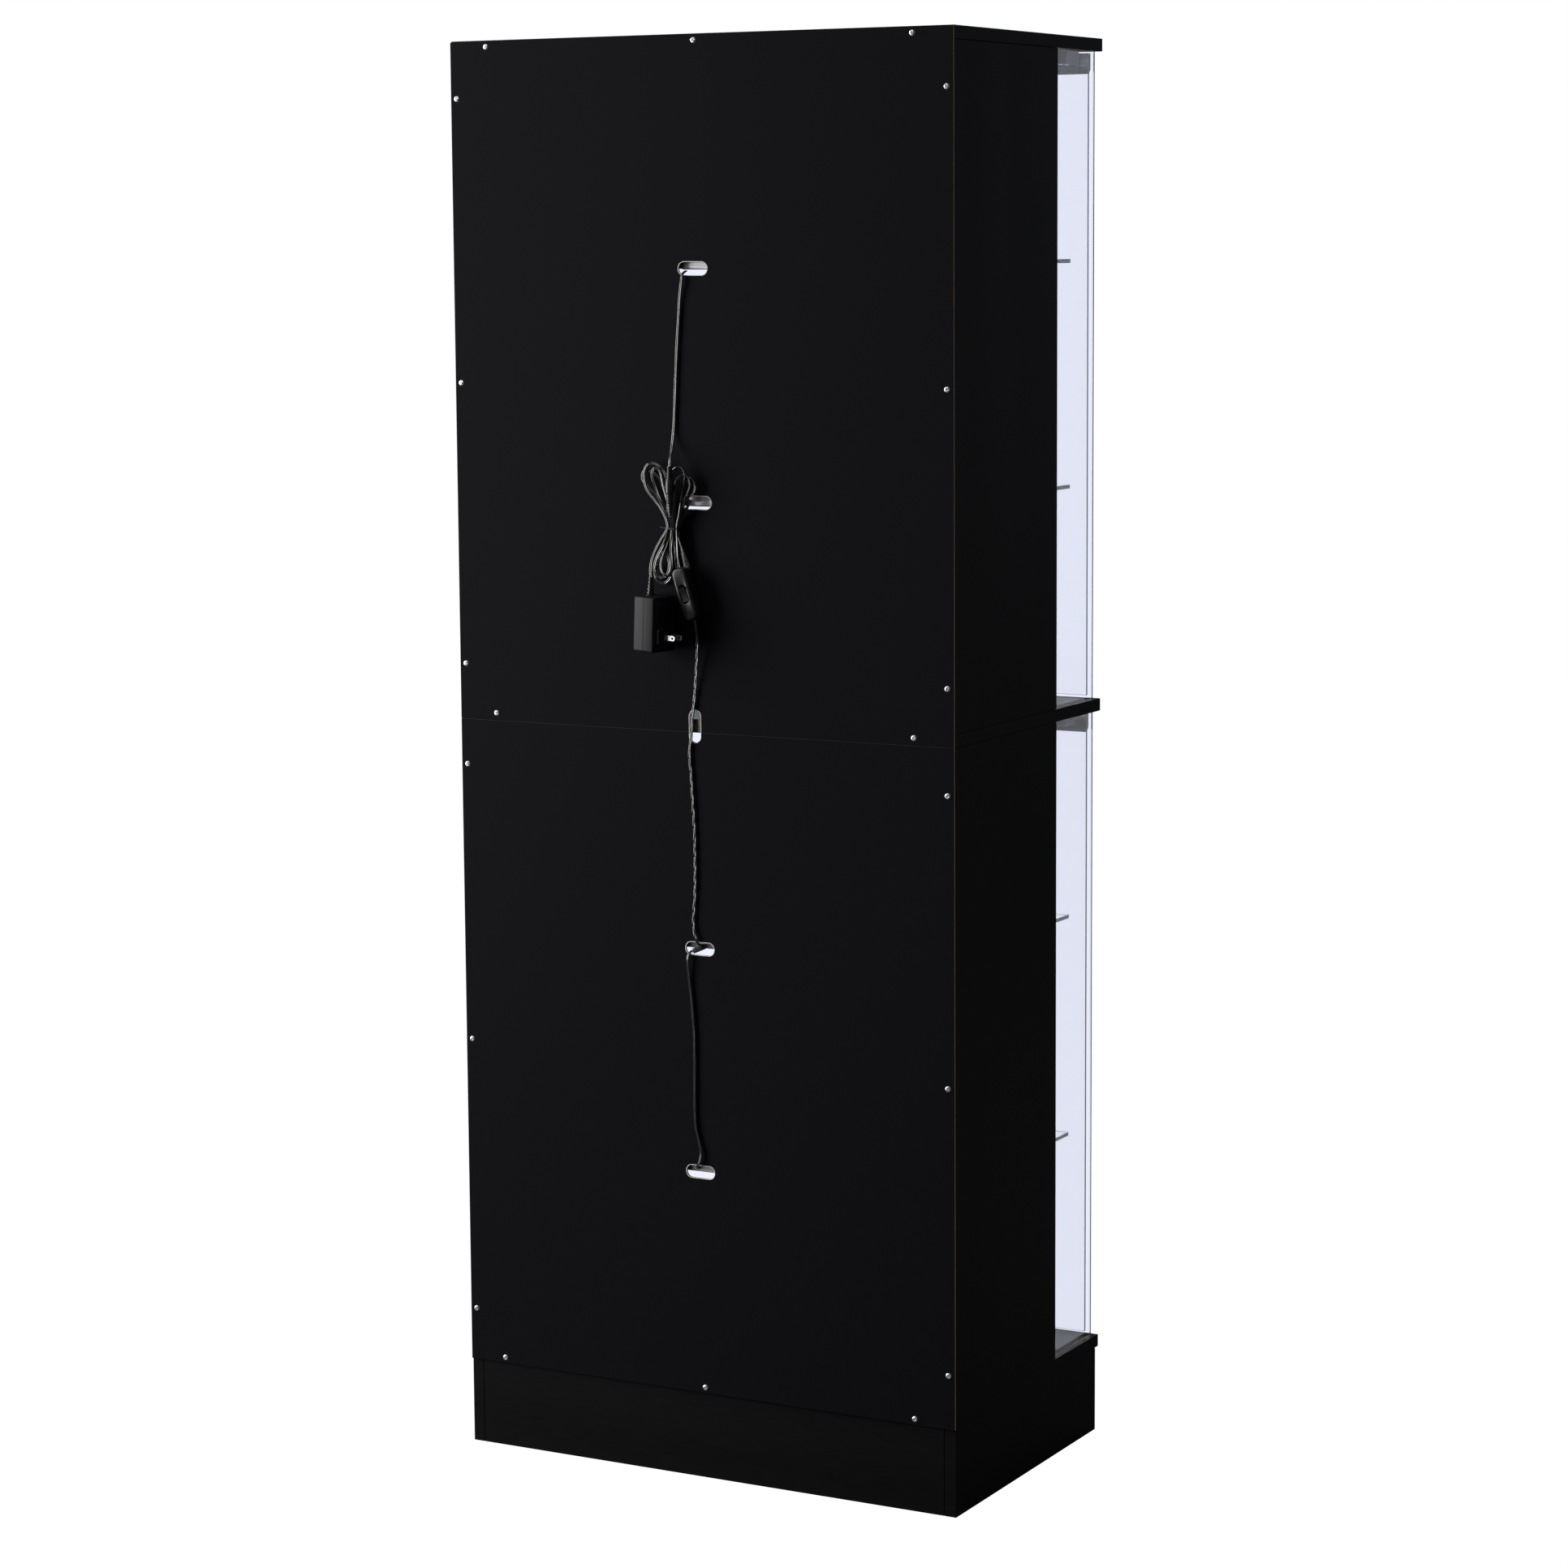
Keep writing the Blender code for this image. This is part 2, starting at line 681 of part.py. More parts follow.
def lead_switch():
    """The inline rocker switch, tilted as it hangs. Its pieces are built upright and hang on one empty."""
    frame = frame_at("lead_switch_frame", SWITCH_CENTRE, (0, SWITCH_TILT, 0))
    half = Vector(SWITCH_SIZE) / 2
    body = cuboid("switch_body", -half, half, BLACK_PLASTIC, along=1, corner=0.0078, steps=5)
    width, depth, length = POCKET
    pocket = cuboid(
        "switch_pocket",
        (-width / 2, half.y - depth, -length / 2),
        (width / 2, half.y + 0.01, length / 2),
        None,
        along=1,
        corner=width / 2 - 0.00002,
        group=CUTTERS,
    )
    boolean(body, pocket)
    arm = ROCKER_ARM
    rocker = outline(
        "switch_rocker",
        (
            (-arm, 0.0030),
            (-arm, 0.0002),
            (0, -0.0016),
            (arm, 0.0002),
            (arm, 0.0030),
            (0, 0.0016),
        ),
        ROCKER_WIDTH,
        (0, 0, 0),
        BLACK_PLASTIC,
        smooth=False,
        turn=False,
    )
    # The outline's first axis runs down the switch, its second points out of the pocket.
    axes = Matrix(((0, 0, 1), (0, 1, 0), (-1, 0, 0))).to_4x4()
    rest = Matrix.Rotation(ROCKER_REST, 4, "X")
    rocker.matrix_local = (
        Matrix.Translation((0, half.y - ROCKER_AXIS_DEPTH, 0)) @ rest @ axes
    )
    for piece in (body, pocket, rocker):
        piece.parent = frame


def low_voltage_socket():
    """The round socket on the end of the first light's lead: ribbed where the lead goes in, open below."""
    sleeve_length, tip_radius, base_radius = SOCKET_RELIEF
    radius, length = SOCKET_BODY
    mouth, depth = SOCKET_MOUTH
    pin, pin_end = SOCKET_PIN
    top = length + sleeve_length
    profile = [
        (0, top),
        *rib_profile(top, sleeve_length, tip_radius, base_radius, 4),
        (radius - RIB_DEPTH, length),
        (radius, length - RIB_DEPTH),
        (radius, 0),
        (mouth, 0),
        (mouth, depth),
        (pin, depth),
        (pin, pin_end),
        (0, pin_end),
    ]
    turned("low_voltage_socket", profile, (*SOCKET_AXIS, SOCKET_TOP - top), BLACK_PLASTIC)


def low_voltage_plug():
    """The plug on the end of the adapter's lead, pushed up into the socket. It is built barrel down."""
    sleeve_length, tip_radius, base_radius = PLUG_RELIEF
    radius, length = PLUG_BODY
    barrel, reach = PLUG_BARREL
    bore, depth = PLUG_BORE
    shoulder = reach + length
    top = shoulder + sleeve_length
    profile = [
        (0, top),
        *rib_profile(top, sleeve_length, tip_radius, base_radius, 4),
        (radius - RIB_DEPTH, shoulder),
        (radius, shoulder - RIB_DEPTH),
        (radius, reach),
        (barrel, reach),
        (barrel, 0),
        (bore, 0),
        (bore, depth),
        (0, depth),
    ]
    mouth_z = SOCKET_TOP - SOCKET_RELIEF[0] - SOCKET_BODY[1]
    turned("low_voltage_plug", profile, (*SOCKET_AXIS, mouth_z + reach - GAP), BLACK_PLASTIC, flipped=True)


def slot_connectors():
    """Small connectors of the shelf lights' leads, where the slots show them."""
    inside = SHELF_BACK + LIGHT_BACK_WALL + GAP
    front = BOARD_BACK + GAP
    spots = (
        ("slot_2_connector", (0.0038, inside, 1.2335), (0.0093, BACK + 0.0030, 1.2403), WHITE_PLASTIC),
        ("slot_3_connector", (0.0035, front, 0.9490), (0.0098, BACK + 0.0001, 0.9660), BLACK_PLASTIC),
        ("slot_4_connector", (-0.0130, inside, 0.6795), (0.0010, BACK + 0.0008, 0.6862), BLACK_PLASTIC),
    )
    for name, low, high, finish in spots:
        cuboid(name, low, high, finish, edge=0.0006)


def bundle():
    """The tied bundle: the adapter's lead on the left of the waist, the lights' lead on its right."""
    middle_y = (BUNDLE_NEAR + BUNDLE_FAR) / 2
    thickness = BUNDLE_FAR - BUNDLE_NEAR
    outline(
        "adapter_lead_hank",
        (
            (0.0372, TIE_Z),
            (0.0440, 1.2180),
            (0.0560, 1.2320),
            (0.0735, 1.2550),
            (0.0730, 1.2700),
            (0.0590, 1.2790),
            (0.0440, 1.2730),
            (0.0365, 1.2500),
            (0.0325, 1.2250),
            (0.0308, TIE_Z),
            (0.0325, 1.1780),
            (0.0370, 1.1560),
            (0.0400, 1.1400),
            (0.0480, 1.1335),
            (0.0560, 1.1400),
            (0.0570, 1.1520),
            (0.0490, 1.1720),
            (0.0415, 1.1880),
        ),
        thickness,
        (0, middle_y, 0),
        LEAD_SHEATH,
    )
    outline(
        "light_lead_hank",
        (
            (0.0302, TIE_Z),
            (0.0305, 1.2250),
            (0.0335, 1.2500),
            (0.0320, 1.2680),
            (0.0240, 1.2770),
            (0.0120, 1.2760),
            (0.0005, 1.2650),
            (0.0020, 1.2490),
            (0.0100, 1.2420),
            (0.0170, 1.2300),
            (0.0225, 1.2150),
            (0.0240, TIE_Z),
            (0.0210, 1.1880),
            (0.0140, 1.1700),
            (0.0100, 1.1590),
            (0.0170, 1.1570),
            (0.0270, 1.1550),
            (0.0325, 1.1570),
            (0.0310, 1.1780),
        ),
        thickness,
        (0, middle_y, 0),
        LEAD_SHEATH,
    )
    tie = cuboid(
        "bundle_tie",
        (0.0222, BUNDLE_NEAR - 0.0012, TIE_Z - 0.00125),
        (0.0390, BUNDLE_FAR + 0.0012, TIE_Z + 0.00125),
        BLACK_PLASTIC,
        along=2,
        corner=0.0012,
    )
    inside = cuboid(
        "bundle_tie_inside",
        (0.0230, BUNDLE_NEAR - GAP, TIE_Z - 0.01),
        (0.0382, BUNDLE_FAR + GAP, TIE_Z + 0.01),
        None,
        along=2,
        corner=0.0004,
        group=CUTTERS,
    )
    boolean(tie, inside)


def leads():
    """The free leads, each lying down the back from its exit to its far end."""
    flat = BACK + 0.0021
    inside = SHELF_BACK + LIGHT_BACK_WALL + 0.0005
    lead(
        "slot_1_lead",
        (
            (0.0165, inside + 0.0010, 1.5150),
            (0.0170, BACK - 0.0027, 1.5134),
            (0.0172, BACK + 0.0010, 1.5121),
            (0.0172, BACK + 0.0032, 1.5088),
            (0.0170, BACK + 0.0038, 1.5040),
            (0.0178, BACK + 0.0036, 1.4990),
            (0.0193, BACK + 0.0030, 1.4909),
            (0.0208, BACK + 0.0025, 1.4808),
            (0.0218, flat, 1.4707),
            (0.0230, flat, 1.4545),
            (0.0249, flat, 1.4303),
            (0.0264, flat, 1.4050),
            (0.0288, flat, 1.3600),
            (0.0306, flat, 1.3280),
            (0.0314, BACK + 0.0032, 1.3140),
            (0.0312, BACK + 0.0062, 1.3030),
            (0.0301, BACK + 0.0115, 1.2935),
            (0.0285, BACK + 0.0166, 1.2868),
            (0.0276, BACK + 0.0187, 1.2820),
            (*SOCKET_AXIS, SOCKET_TOP + GAP),
        ),
    )
    lead(
        "slot_2_lead",
        (
            (0.0060, BACK + 0.0047, 1.2371),
            (0.0075, BACK + 0.0062, 1.2335),
            (0.0100, BACK + 0.0058, 1.2285),
            (0.0150, BACK + 0.0045, 1.2205),
            (0.0190, BACK + 0.0045, 1.2140),
            (0.0202, BACK + 0.0050, 1.2080),
        ),
    )
    lead(
        "switch_to_slot_4_lead",
        (
            (-0.0027, SWITCH_CENTRE.y, 1.0900),
            (-0.0034, SWITCH_CENTRE.y - 0.0003, 1.0830),
            (-0.0041, BACK + 0.0112, 1.0720),
            (-0.0036, BACK + 0.0090, 1.0590),
            (-0.0018, BACK + 0.0068, 1.0440),
            (0.0010, BACK + 0.0045, 1.0250),
            (0.0035, BACK + 0.0030, 1.0050),
            (0.0059, flat, 0.9853),
            (0.0086, flat, 0.9688),
            (0.0103, flat, 0.9443),
            (0.0121, flat, 0.9340),
            (0.0130, flat, 0.9230),
            (0.0126, flat, 0.9137),
            (0.0115, flat, 0.9037),
            (0.0103, flat, 0.8855),
            (0.0083, flat, 0.8550),
            (0.0068, flat, 0.8240),
            (0.0064, flat, 0.7850),
            (0.0070, flat, 0.7500),
            (0.0091, flat, 0.7213),
            (0.0097, flat, 0.7110),
            (0.0088, BACK + 0.0025, 0.7020),
            (0.0062, BACK + 0.0031, 0.6930),
            (0.0044, BACK + 0.0034, 0.6878),
            (0.0036, BACK + 0.0014, 0.6842),
            (0.0031, inside, 0.6818),
        ),
    )
    lead(
        "slot_4_to_slot_5_lead",
        (
            (0.0130, inside, 0.6762),
            (0.0132, BACK - 0.0020, 0.6740),
            (0.0134, BACK + 0.0010, 0.6727),
            (0.0138, BACK + 0.0034, 0.6705),
            (0.0145, BACK + 0.0044, 0.6670),
            (0.0150, BACK + 0.0042, 0.6600),
            (0.0156, BACK + 0.0032, 0.6500),
            (0.0154, BACK + 0.0024, 0.6360),
            (0.0138, flat, 0.6170),
            (0.0119, flat, 0.5960),
            (0.0103, flat, 0.5740),
            (0.0098, flat, 0.5430),
            (0.0101, flat, 0.5090),
            (0.0103, flat, 0.4750),
            (0.0094, flat, 0.4540),
            (0.0068, flat, 0.4420),
            (0.0034, BACK + 0.0024, 0.4300),
            (0.0016, BACK + 0.0030, 0.4210),
            (0.0022, BACK + 0.0036, 0.4130),
            (0.0046, BACK + 0.0034, 0.4070),
            (0.0070, BACK + 0.0030, 0.4022),
            (0.0090, BACK + 0.0002, 0.3996),
            (0.0110, inside, 0.3980),
        ),
    )
    relief_top = ADAPTER_SIZE.z / 2 + STRAIN_RELIEF[0] + 2 * GAP
    turn = ADAPTER_TURN.to_matrix()
    top = ADAPTER_CENTRE + turn @ Vector((*STRAIN_RELIEF_SPOT, relief_top))
    lead(
        "adapter_lead",
        (
            top,
            top + Vector((0.0004, -0.0002, 0.0060)),
            top + Vector((0.0010, -0.0020, 0.0140)),
            top + Vector((0.0008, -0.0060, 0.0240)),
            (0.0485, BACK + 0.0160, 1.1780),
            (0.0440, BACK + 0.0105, 1.1900),
            (0.0418, BACK + 0.0085, 1.1965),
        ),
    )


def build():
    horizontal_boards()
    side_panels()
    side_glass()
    back_panels()
    plinth()
    shelves()
    doors()
    power_adapter()
    lead_switch()
    low_voltage_socket()
    low_voltage_plug()
    slot_connectors()
    bundle()
    leads()


build()
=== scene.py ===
"""Looks for the tall glazed china cabinet: its boards, glass and fittings, and the leads tied up behind it.

Metres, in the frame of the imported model: +Z up, the front faces -Y and the back +Y.
"""

import math
import random

import bmesh
import bpy
from mathutils import Euler, Matrix, Vector


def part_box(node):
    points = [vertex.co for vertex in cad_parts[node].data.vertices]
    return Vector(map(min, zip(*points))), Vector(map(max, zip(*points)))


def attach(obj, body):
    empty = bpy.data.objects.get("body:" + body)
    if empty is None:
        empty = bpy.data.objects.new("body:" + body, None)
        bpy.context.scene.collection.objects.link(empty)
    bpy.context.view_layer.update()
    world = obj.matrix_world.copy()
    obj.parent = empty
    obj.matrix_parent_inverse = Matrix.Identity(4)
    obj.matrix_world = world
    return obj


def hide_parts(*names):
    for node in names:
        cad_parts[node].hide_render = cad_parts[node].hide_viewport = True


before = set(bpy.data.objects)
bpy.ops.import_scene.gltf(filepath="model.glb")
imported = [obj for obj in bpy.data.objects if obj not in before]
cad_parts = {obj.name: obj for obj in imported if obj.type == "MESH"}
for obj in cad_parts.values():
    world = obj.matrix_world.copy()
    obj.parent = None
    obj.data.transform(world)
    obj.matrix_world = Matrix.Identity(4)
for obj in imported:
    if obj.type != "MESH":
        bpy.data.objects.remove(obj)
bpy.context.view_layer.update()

ROOT = "cabinet"
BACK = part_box("upper_back_panel")[1].y
SECTIONS = ("upper", "lower")
GAP = 0.0003


# ---------------------------------------------------------------- camera, lights and floor

CAMERA_PLACE = (-2.43813, 4.46325, 1.55915)
CAMERA_DEGREES = (90 - 7.257, 0.378, -151.43)
CAMERA_LENS = 91.88
CAMERA_SHIFT = -0.0259
# Each light's name, place, aim, width and height, watts and colour.
LIGHTS = (
    ("key_light", (3.0, 1.75, 1.55), (0.0, 0.2, 1.0), (1.7, 3.0), 250, (1.0, 0.985, 0.96)),
    ("top_light", (0.6, 1.9, 3.9), (0.0, 0.2, 1.2), (2.2, 1.0), 22, (1.0, 1.0, 1.0)),
    ("side_light", (-3.4, -0.6, 1.25), (-0.3, 0.0, 0.7), (1.2, 2.4), 22, (0.97, 0.98, 1.0)),
    ("front_light", (0.6, -3.0, 4.2), (0.0, -0.1, 0.9), (2.0, 1.6), 70, (1.0, 1.0, 1.0)),
)
WHITE_THROUGH_GLASS = (0.955, 0.980, 1.10, 1)
WORLD_COLOUR = (0.86, 0.90, 1.0, 1)
WORLD_STRENGTH = 0.13
FLOOR_REACH = 9.0
FLOOR_Z = -0.0005
FLOOR_GLOW = 1.02


def feed(tree, node, inputs):
    """Sets a node's inputs, by name or number, each to a value or to another node's output."""
    for key, value in inputs.items():
        if isinstance(value, bpy.types.NodeSocket):
            tree.links.new(value, node.inputs[key])
        else:
            node.inputs[key].default_value = value
    return node


def new_node(tree, kind, inputs=()):
    """A new shader node with some of its inputs set."""
    return feed(tree, tree.nodes.new(f"ShaderNode{kind}"), dict(inputs))


def seen_white(tree, unseen, white, kind):
    """Pure white where it is looked at, a cool white where it is looked at through glass, else unseen."""
    path = new_node(tree, "LightPath")
    cool = new_node(tree, kind, {"Color": WHITE_THROUGH_GLASS})
    shown = unseen.outputs[0]
    for ray, over in (("Is Transmission Ray", cool), ("Is Camera Ray", white)):
        shown = new_node(tree, "MixShader", {0: path.outputs[ray], 1: shown, 2: over.outputs[0]}).outputs[0]
    return shown


def set_camera():
    """The photo's point of view: behind the cabinet, on its -X side and above its middle."""
    scene = bpy.context.scene
    scene.view_settings.view_transform = "Standard"
    camera = bpy.data.cameras.new("camera")
    camera.lens = CAMERA_LENS
    camera.shift_y = CAMERA_SHIFT
    camera.clip_end = 60
    view = bpy.data.objects.new("camera", camera)
    view.location = CAMERA_PLACE
    view.rotation_euler = [math.radians(turn) for turn in CAMERA_DEGREES]
    scene.collection.objects.link(view)
    scene.camera = view


def set_world():
    """A weak, even, slightly cool light from all round, seen as white."""
    world = bpy.data.worlds.new("studio")
    bpy.context.scene.world = world
    world.use_nodes = True
    tree = world.node_tree
    tree.nodes.clear()
    around = new_node(tree, "Background", {"Color": WORLD_COLOUR, "Strength": WORLD_STRENGTH})
    plain = new_node(tree, "Background", {"Color": (1, 1, 1, 1)})
    new_node(tree, "OutputWorld", {"Surface": seen_white(tree, around, plain, "Background")})


def set_lights():
    """Soft lights; the key light, which grazes the back, isn't seen through the glass."""
    for name, place, aim, (width, height), watts, colour in LIGHTS:
        lamp = bpy.data.lights.new(name, "AREA")
        lamp.shape = "RECTANGLE"
        lamp.size, lamp.size_y = width, height
        lamp.energy = watts
        lamp.color = colour
        holder = bpy.data.objects.new(name, lamp)
        holder.location = place
        holder.rotation_euler = (Vector(aim) - Vector(place)).to_track_quat("-Z", "Y").to_euler()
        holder.visible_transmission = name != "key_light"
        bpy.context.scene.collection.objects.link(holder)


def set_floor():
    """A wide floor that is seen as white but throws little light back."""
    floor = bpy.data.meshes.new("floor")
    corners = [(x * FLOOR_REACH, y * FLOOR_REACH, FLOOR_Z) for x, y in ((-1, -1), (1, -1), (1, 1), (-1, 1))]
    floor.from_pydata(corners, [], [(0, 1, 2, 3)])
    ground = bpy.data.objects.new("floor", floor)
    bpy.context.scene.collection.objects.link(ground)
    finish, shader, tree = new_finish("pale_floor", (0.10, 0.10, 0.10), 0.9, specular=0.0)
    white = new_node(tree, "Emission", {"Strength": FLOOR_GLOW})
    feed(tree, tree.nodes["Material Output"], {"Surface": seen_white(tree, shader, white, "Emission")})
    floor.materials.append(finish)


# ---------------------------------------------------------------- materials


def new_finish(name, colour, roughness, metallic=0.0, specular=None):
    """A new material, its shader and its node tree."""
    made = bpy.data.materials.new(name)
    made.use_nodes = True
    tree = made.node_tree
    inputs = {"Base Color": (*colour, 1), "Roughness": roughness, "Metallic": metallic}
    if specular is not None:
        inputs["Specular IOR Level"] = specular
    return made, feed(tree, tree.nodes["Principled BSDF"], inputs), tree


def noise(tree, scale, stretch=(1, 1, 1), detail=3.0):
    """A noise over the object's own coordinates, in metres, squeezed along some axes."""
    where = new_node(tree, "TexCoord").outputs["Object"]
    squeezed = new_node(tree, "Mapping", {"Vector": where, "Scale": stretch}).outputs["Vector"]
    return new_node(tree, "TexNoise", {"Vector": squeezed, "Scale": scale, "Detail": detail}).outputs["Fac"]


def ranged(tree, value, low, high, start=0.3, end=0.7):
    """value from start to end, as a number from low to high."""
    inputs = {"Value": value, "From Min": start, "From Max": end, "To Min": low, "To Max": high}
    return new_node(tree, "MapRange", inputs).outputs["Result"]


def mixed(tree, share, *colours):
    """A colour between two, each a colour or another node's output."""
    first, second = [(*colour, 1) if isinstance(colour, tuple) else colour for colour in colours]
    made = tree.nodes.new("ShaderNodeMix")
    made.data_type = "RGBA"
    return feed(tree, made, {0: share, 6: first, 7: second}).outputs[2]


def bumped(tree, shader, height, strength, distance):
    """Relief from a height, with a strength and a depth in metres."""
    relief = new_node(tree, "Bump", {"Height": height, "Strength": strength, "Distance": distance})
    feed(tree, shader, {"Normal": relief.outputs["Normal"]})


def edge_mask(tree, axis, limit):
    """1 where the object's own normal leans away from an axis, as on the edges of a sheet."""
    normal = new_node(tree, "TexCoord").outputs["Normal"]
    size = new_node(tree, "Math", {0: new_node(tree, "SeparateXYZ", {0: normal}).outputs[axis]})
    size.operation = "ABSOLUTE"
    below = new_node(tree, "Math", {0: size.outputs[0], 1: limit})
    below.operation = "LESS_THAN"
    return below.outputs[0]


def grained(name, dark, light, scale, rough, bump, stretch=(1, 1, 1), metallic=0.0, specular=None):
    """A finish with a noise grain in its colour, roughness and relief; bump is (strength, depth)."""
    made, shader, tree = new_finish(name, dark, rough[0], metallic, specular)
    grain = noise(tree, scale, stretch)
    colour = mixed(tree, ranged(tree, grain, 0, 1), dark, light)
    feed(tree, shader, {"Base Color": colour, "Roughness": ranged(tree, grain, *rough)})
    bumped(tree, shader, grain, *bump)
    return made


def back_board_finish():
    """Charcoal print with a fine upright grain on hardboard; its cut edges are raw brown fibre."""
    made, shader, tree = new_finish("back_board_print", (0.006, 0.006, 0.008), 0.7, specular=0.03)
    pores = noise(tree, 700, (1, 1, 0.10), 4)
    cloud = noise(tree, 5, (1, 1, 0.5), 2)
    printed = mixed(tree, ranged(tree, pores, 0, 1), (0.0026, 0.0024, 0.0036), (0.0046, 0.0043, 0.0062))
    printed = mixed(tree, ranged(tree, cloud, 0, 0.35), printed, (0.0034, 0.0032, 0.0045))
    fibres = noise(tree, 1400, detail=4)
    raw = mixed(tree, ranged(tree, fibres, 0, 1), (0.13, 0.085, 0.05), (0.42, 0.31, 0.20))
    edges = edge_mask(tree, 1, 0.5)
    colour = mixed(tree, edges, printed, raw)
    feed(tree, shader, {"Base Color": colour, "Roughness": ranged(tree, pores, 0.66, 0.78)})
    bumped(tree, shader, pores, 0.25, 0.0001)
    return made


def board_finish(name, along):
    """Near-black satin laminate with faint pores that run along one axis."""
    stretch = [1.0, 1.0, 1.0]
    stretch[along] = 0.06
    made, shader, tree = new_finish(name, (0.003, 0.003, 0.0032), 0.45, specular=0.08)
    pores = noise(tree, 420, stretch, 5)
    drift = noise(tree, 9, stretch, 2)
    tone = mixed(tree, ranged(tree, pores, 0, 1), (0.0022, 0.0022, 0.0024), (0.0044, 0.0043, 0.0045))
    feed(tree, shader, {"Base Color": tone, "Roughness": ranged(tree, drift, 0.36, 0.46)})
    bumped(tree, shader, pores, 0.18, 0.00008)
    return made


def glass_finish(name, axis):
    """Clear float glass whose faces look along an axis; its ground edges are deep green."""
    made, shader, tree = new_finish(name, (0.97, 0.99, 0.985), 0.0)
    edges = edge_mask(tree, axis, 0.6)
    haze = noise(tree, 40, detail=2)
    clear = mixed(tree, ranged(tree, haze, 0, 1), (0.968, 0.977, 0.998), (0.976, 0.984, 1.0))
    green = mixed(tree, ranged(tree, haze, 0, 1), (0.010, 0.040, 0.026), (0.024, 0.066, 0.046))
    inputs = {
        "Base Color": mixed(tree, edges, clear, green),
        "Roughness": ranged(tree, edges, 0.0, 0.34, 0, 1),
        "Transmission Weight": ranged(tree, edges, 1.0, 0.12, 0, 1),
        "Specular IOR Level": ranged(tree, edges, 0.5, 0.06, 0, 1),
        "IOR": 1.5,
    }
    feed(tree, shader, inputs)
    return made


def chrome_finish():
    """Polished chrome with a painted reflection: a slow noise breaks its colour into sharp near-black and
    bright blotches that stand in for what it mirrors, and bends its surface a little.
    """
    made, shader, tree = new_finish("chrome_plate", (0.70, 0.71, 0.72), 0.08, 0.82)
    waves = noise(tree, 32, detail=1)
    # painted reflection: sharp near-black and bright blotches as the metal's base colour
    painted_reflection_patches = mixed(tree, ranged(tree, waves, 0, 1, 0.47, 0.54), (0.05, 0.06, 0.065), (0.88, 0.90, 0.89))
    fine = noise(tree, 600, detail=2)
    feed(tree, shader, {"Base Color": painted_reflection_patches, "Roughness": ranged(tree, fine, 0.05, 0.12)})
    bumped(tree, shader, waves, 0.25, 0.002)
    return made


FINISH = {
    "back": back_board_finish(),
    "upright": board_finish("upright_laminate", 2),
    "level": board_finish("level_laminate", 0),
    "core": grained("particle_core", (0.24, 0.16, 0.07), (0.80, 0.62, 0.34), 900, (0.75, 0.9), (0.6, 0.0004)),
    "chipped": grained(
        "chipped_edge", (0.36, 0.33, 0.29), (0.68, 0.65, 0.60), 700, (0.75, 0.9), (0.6, 0.0004), (1, 1, 3)
    ),
    "side_glass": glass_finish("side_pane_glass", 0),
    "door_glass": glass_finish("door_pane_glass", 1),
    "shelf_glass": glass_finish("shelf_plate_glass", 2),
    "chrome": chrome_finish(),
    "steel": grained(
        "zinc_plate", (0.55, 0.56, 0.58), (0.85, 0.85, 0.86), 900, (0.22, 0.38), (0.15, 0.0001), metallic=1.0
    ),
    "nickel": grained(
        "bright_nickel", (0.22, 0.215, 0.20), (0.40, 0.39, 0.36), 500,
        (0.40, 0.56), (0.20, 0.0002), (1, 1, 3), metallic=1.0,
    ),
    "aluminium": grained(
        "anodised_aluminium", (0.62, 0.63, 0.64), (0.76, 0.77, 0.78), 500,
        (0.26, 0.36), (0.12, 0.0001), (0.05, 1, 1), metallic=1.0,
    ),
    "moulded": grained(
        "moulded_black", (0.0045, 0.0045, 0.0052), (0.0095, 0.0095, 0.0105), 2600,
        (0.30, 0.42), (0.22, 0.0001), specular=0.32,
    ),
    "stippled": grained(
        "stippled_black", (0.0028, 0.0028, 0.0036), (0.0110, 0.0110, 0.0125), 1900,
        (0.42, 0.56), (0.45, 0.0002), specular=0.10,
    ),
    # painted shade: near-black fibre for the shadow in the joint of the back panels
    "shadowed": grained(
        "seam_fibre_painted_shade", (0.010, 0.008, 0.006), (0.045, 0.036, 0.026), 300, (0.8, 0.95), (0.4, 0.0002)
    ),
    "fibre": grained("torn_fibre", (0.30, 0.28, 0.25), (0.80, 0.77, 0.72), 1600, (0.8, 0.95), (0.6, 0.0003)),
    "rubber": grained(
        "black_rubber", (0.004, 0.004, 0.005), (0.010, 0.010, 0.011), 1200,
        (0.28, 0.42), (0.2, 0.0001), specular=0.4,
    ),
    "white": grained("white_nylon", (0.72, 0.72, 0.70), (0.84, 0.84, 0.82), 700, (0.28, 0.40), (0.1, 0.0001)),
    "grey": grained("grey_acetal", (0.24, 0.24, 0.25), (0.33, 0.33, 0.34), 900, (0.38, 0.50), (0.15, 0.0001)),
    "milky": grained(
        "milky_diffuser", (0.80, 0.82, 0.84), (0.90, 0.91, 0.92), 500, (0.35, 0.45), (0.08, 0.0001)
    ),
    "lead": grained(
        "lead_insulation", (0.005, 0.005, 0.006), (0.012, 0.012, 0.013), 260,
        (0.12, 0.22), (0.12, 0.0001), specular=1.0,
    ),
}


def paint_nodes():
    """Gives each carried-over solid its finish."""
    kinds = (
        ("back_panel", "back"),
        ("side_panel", "upright"),
        ("_board", "level"),
        ("plinth", "level"),
        ("side_glass", "side_glass"),
        ("door_glass", "door_glass"),
        ("glass_shelf", "shelf_glass"),
        ("_hinge", "chrome"),
        ("strike_clip", "chrome"),
        ("bush", "grey"),
        ("plunger", "grey"),
        ("latch_body", "moulded"),
        ("shelf_light", "aluminium"),
    )
    for name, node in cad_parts.items():
        found = [finish for part, finish in kinds if part in name]
        for place in node.material_slots:
            place.material = FINISH[found[0] if found else "moulded"]


# ---------------------------------------------------------------- mesh makers

ON_AXIS = 0.0001  # a turned outline starts and ends this near its axis


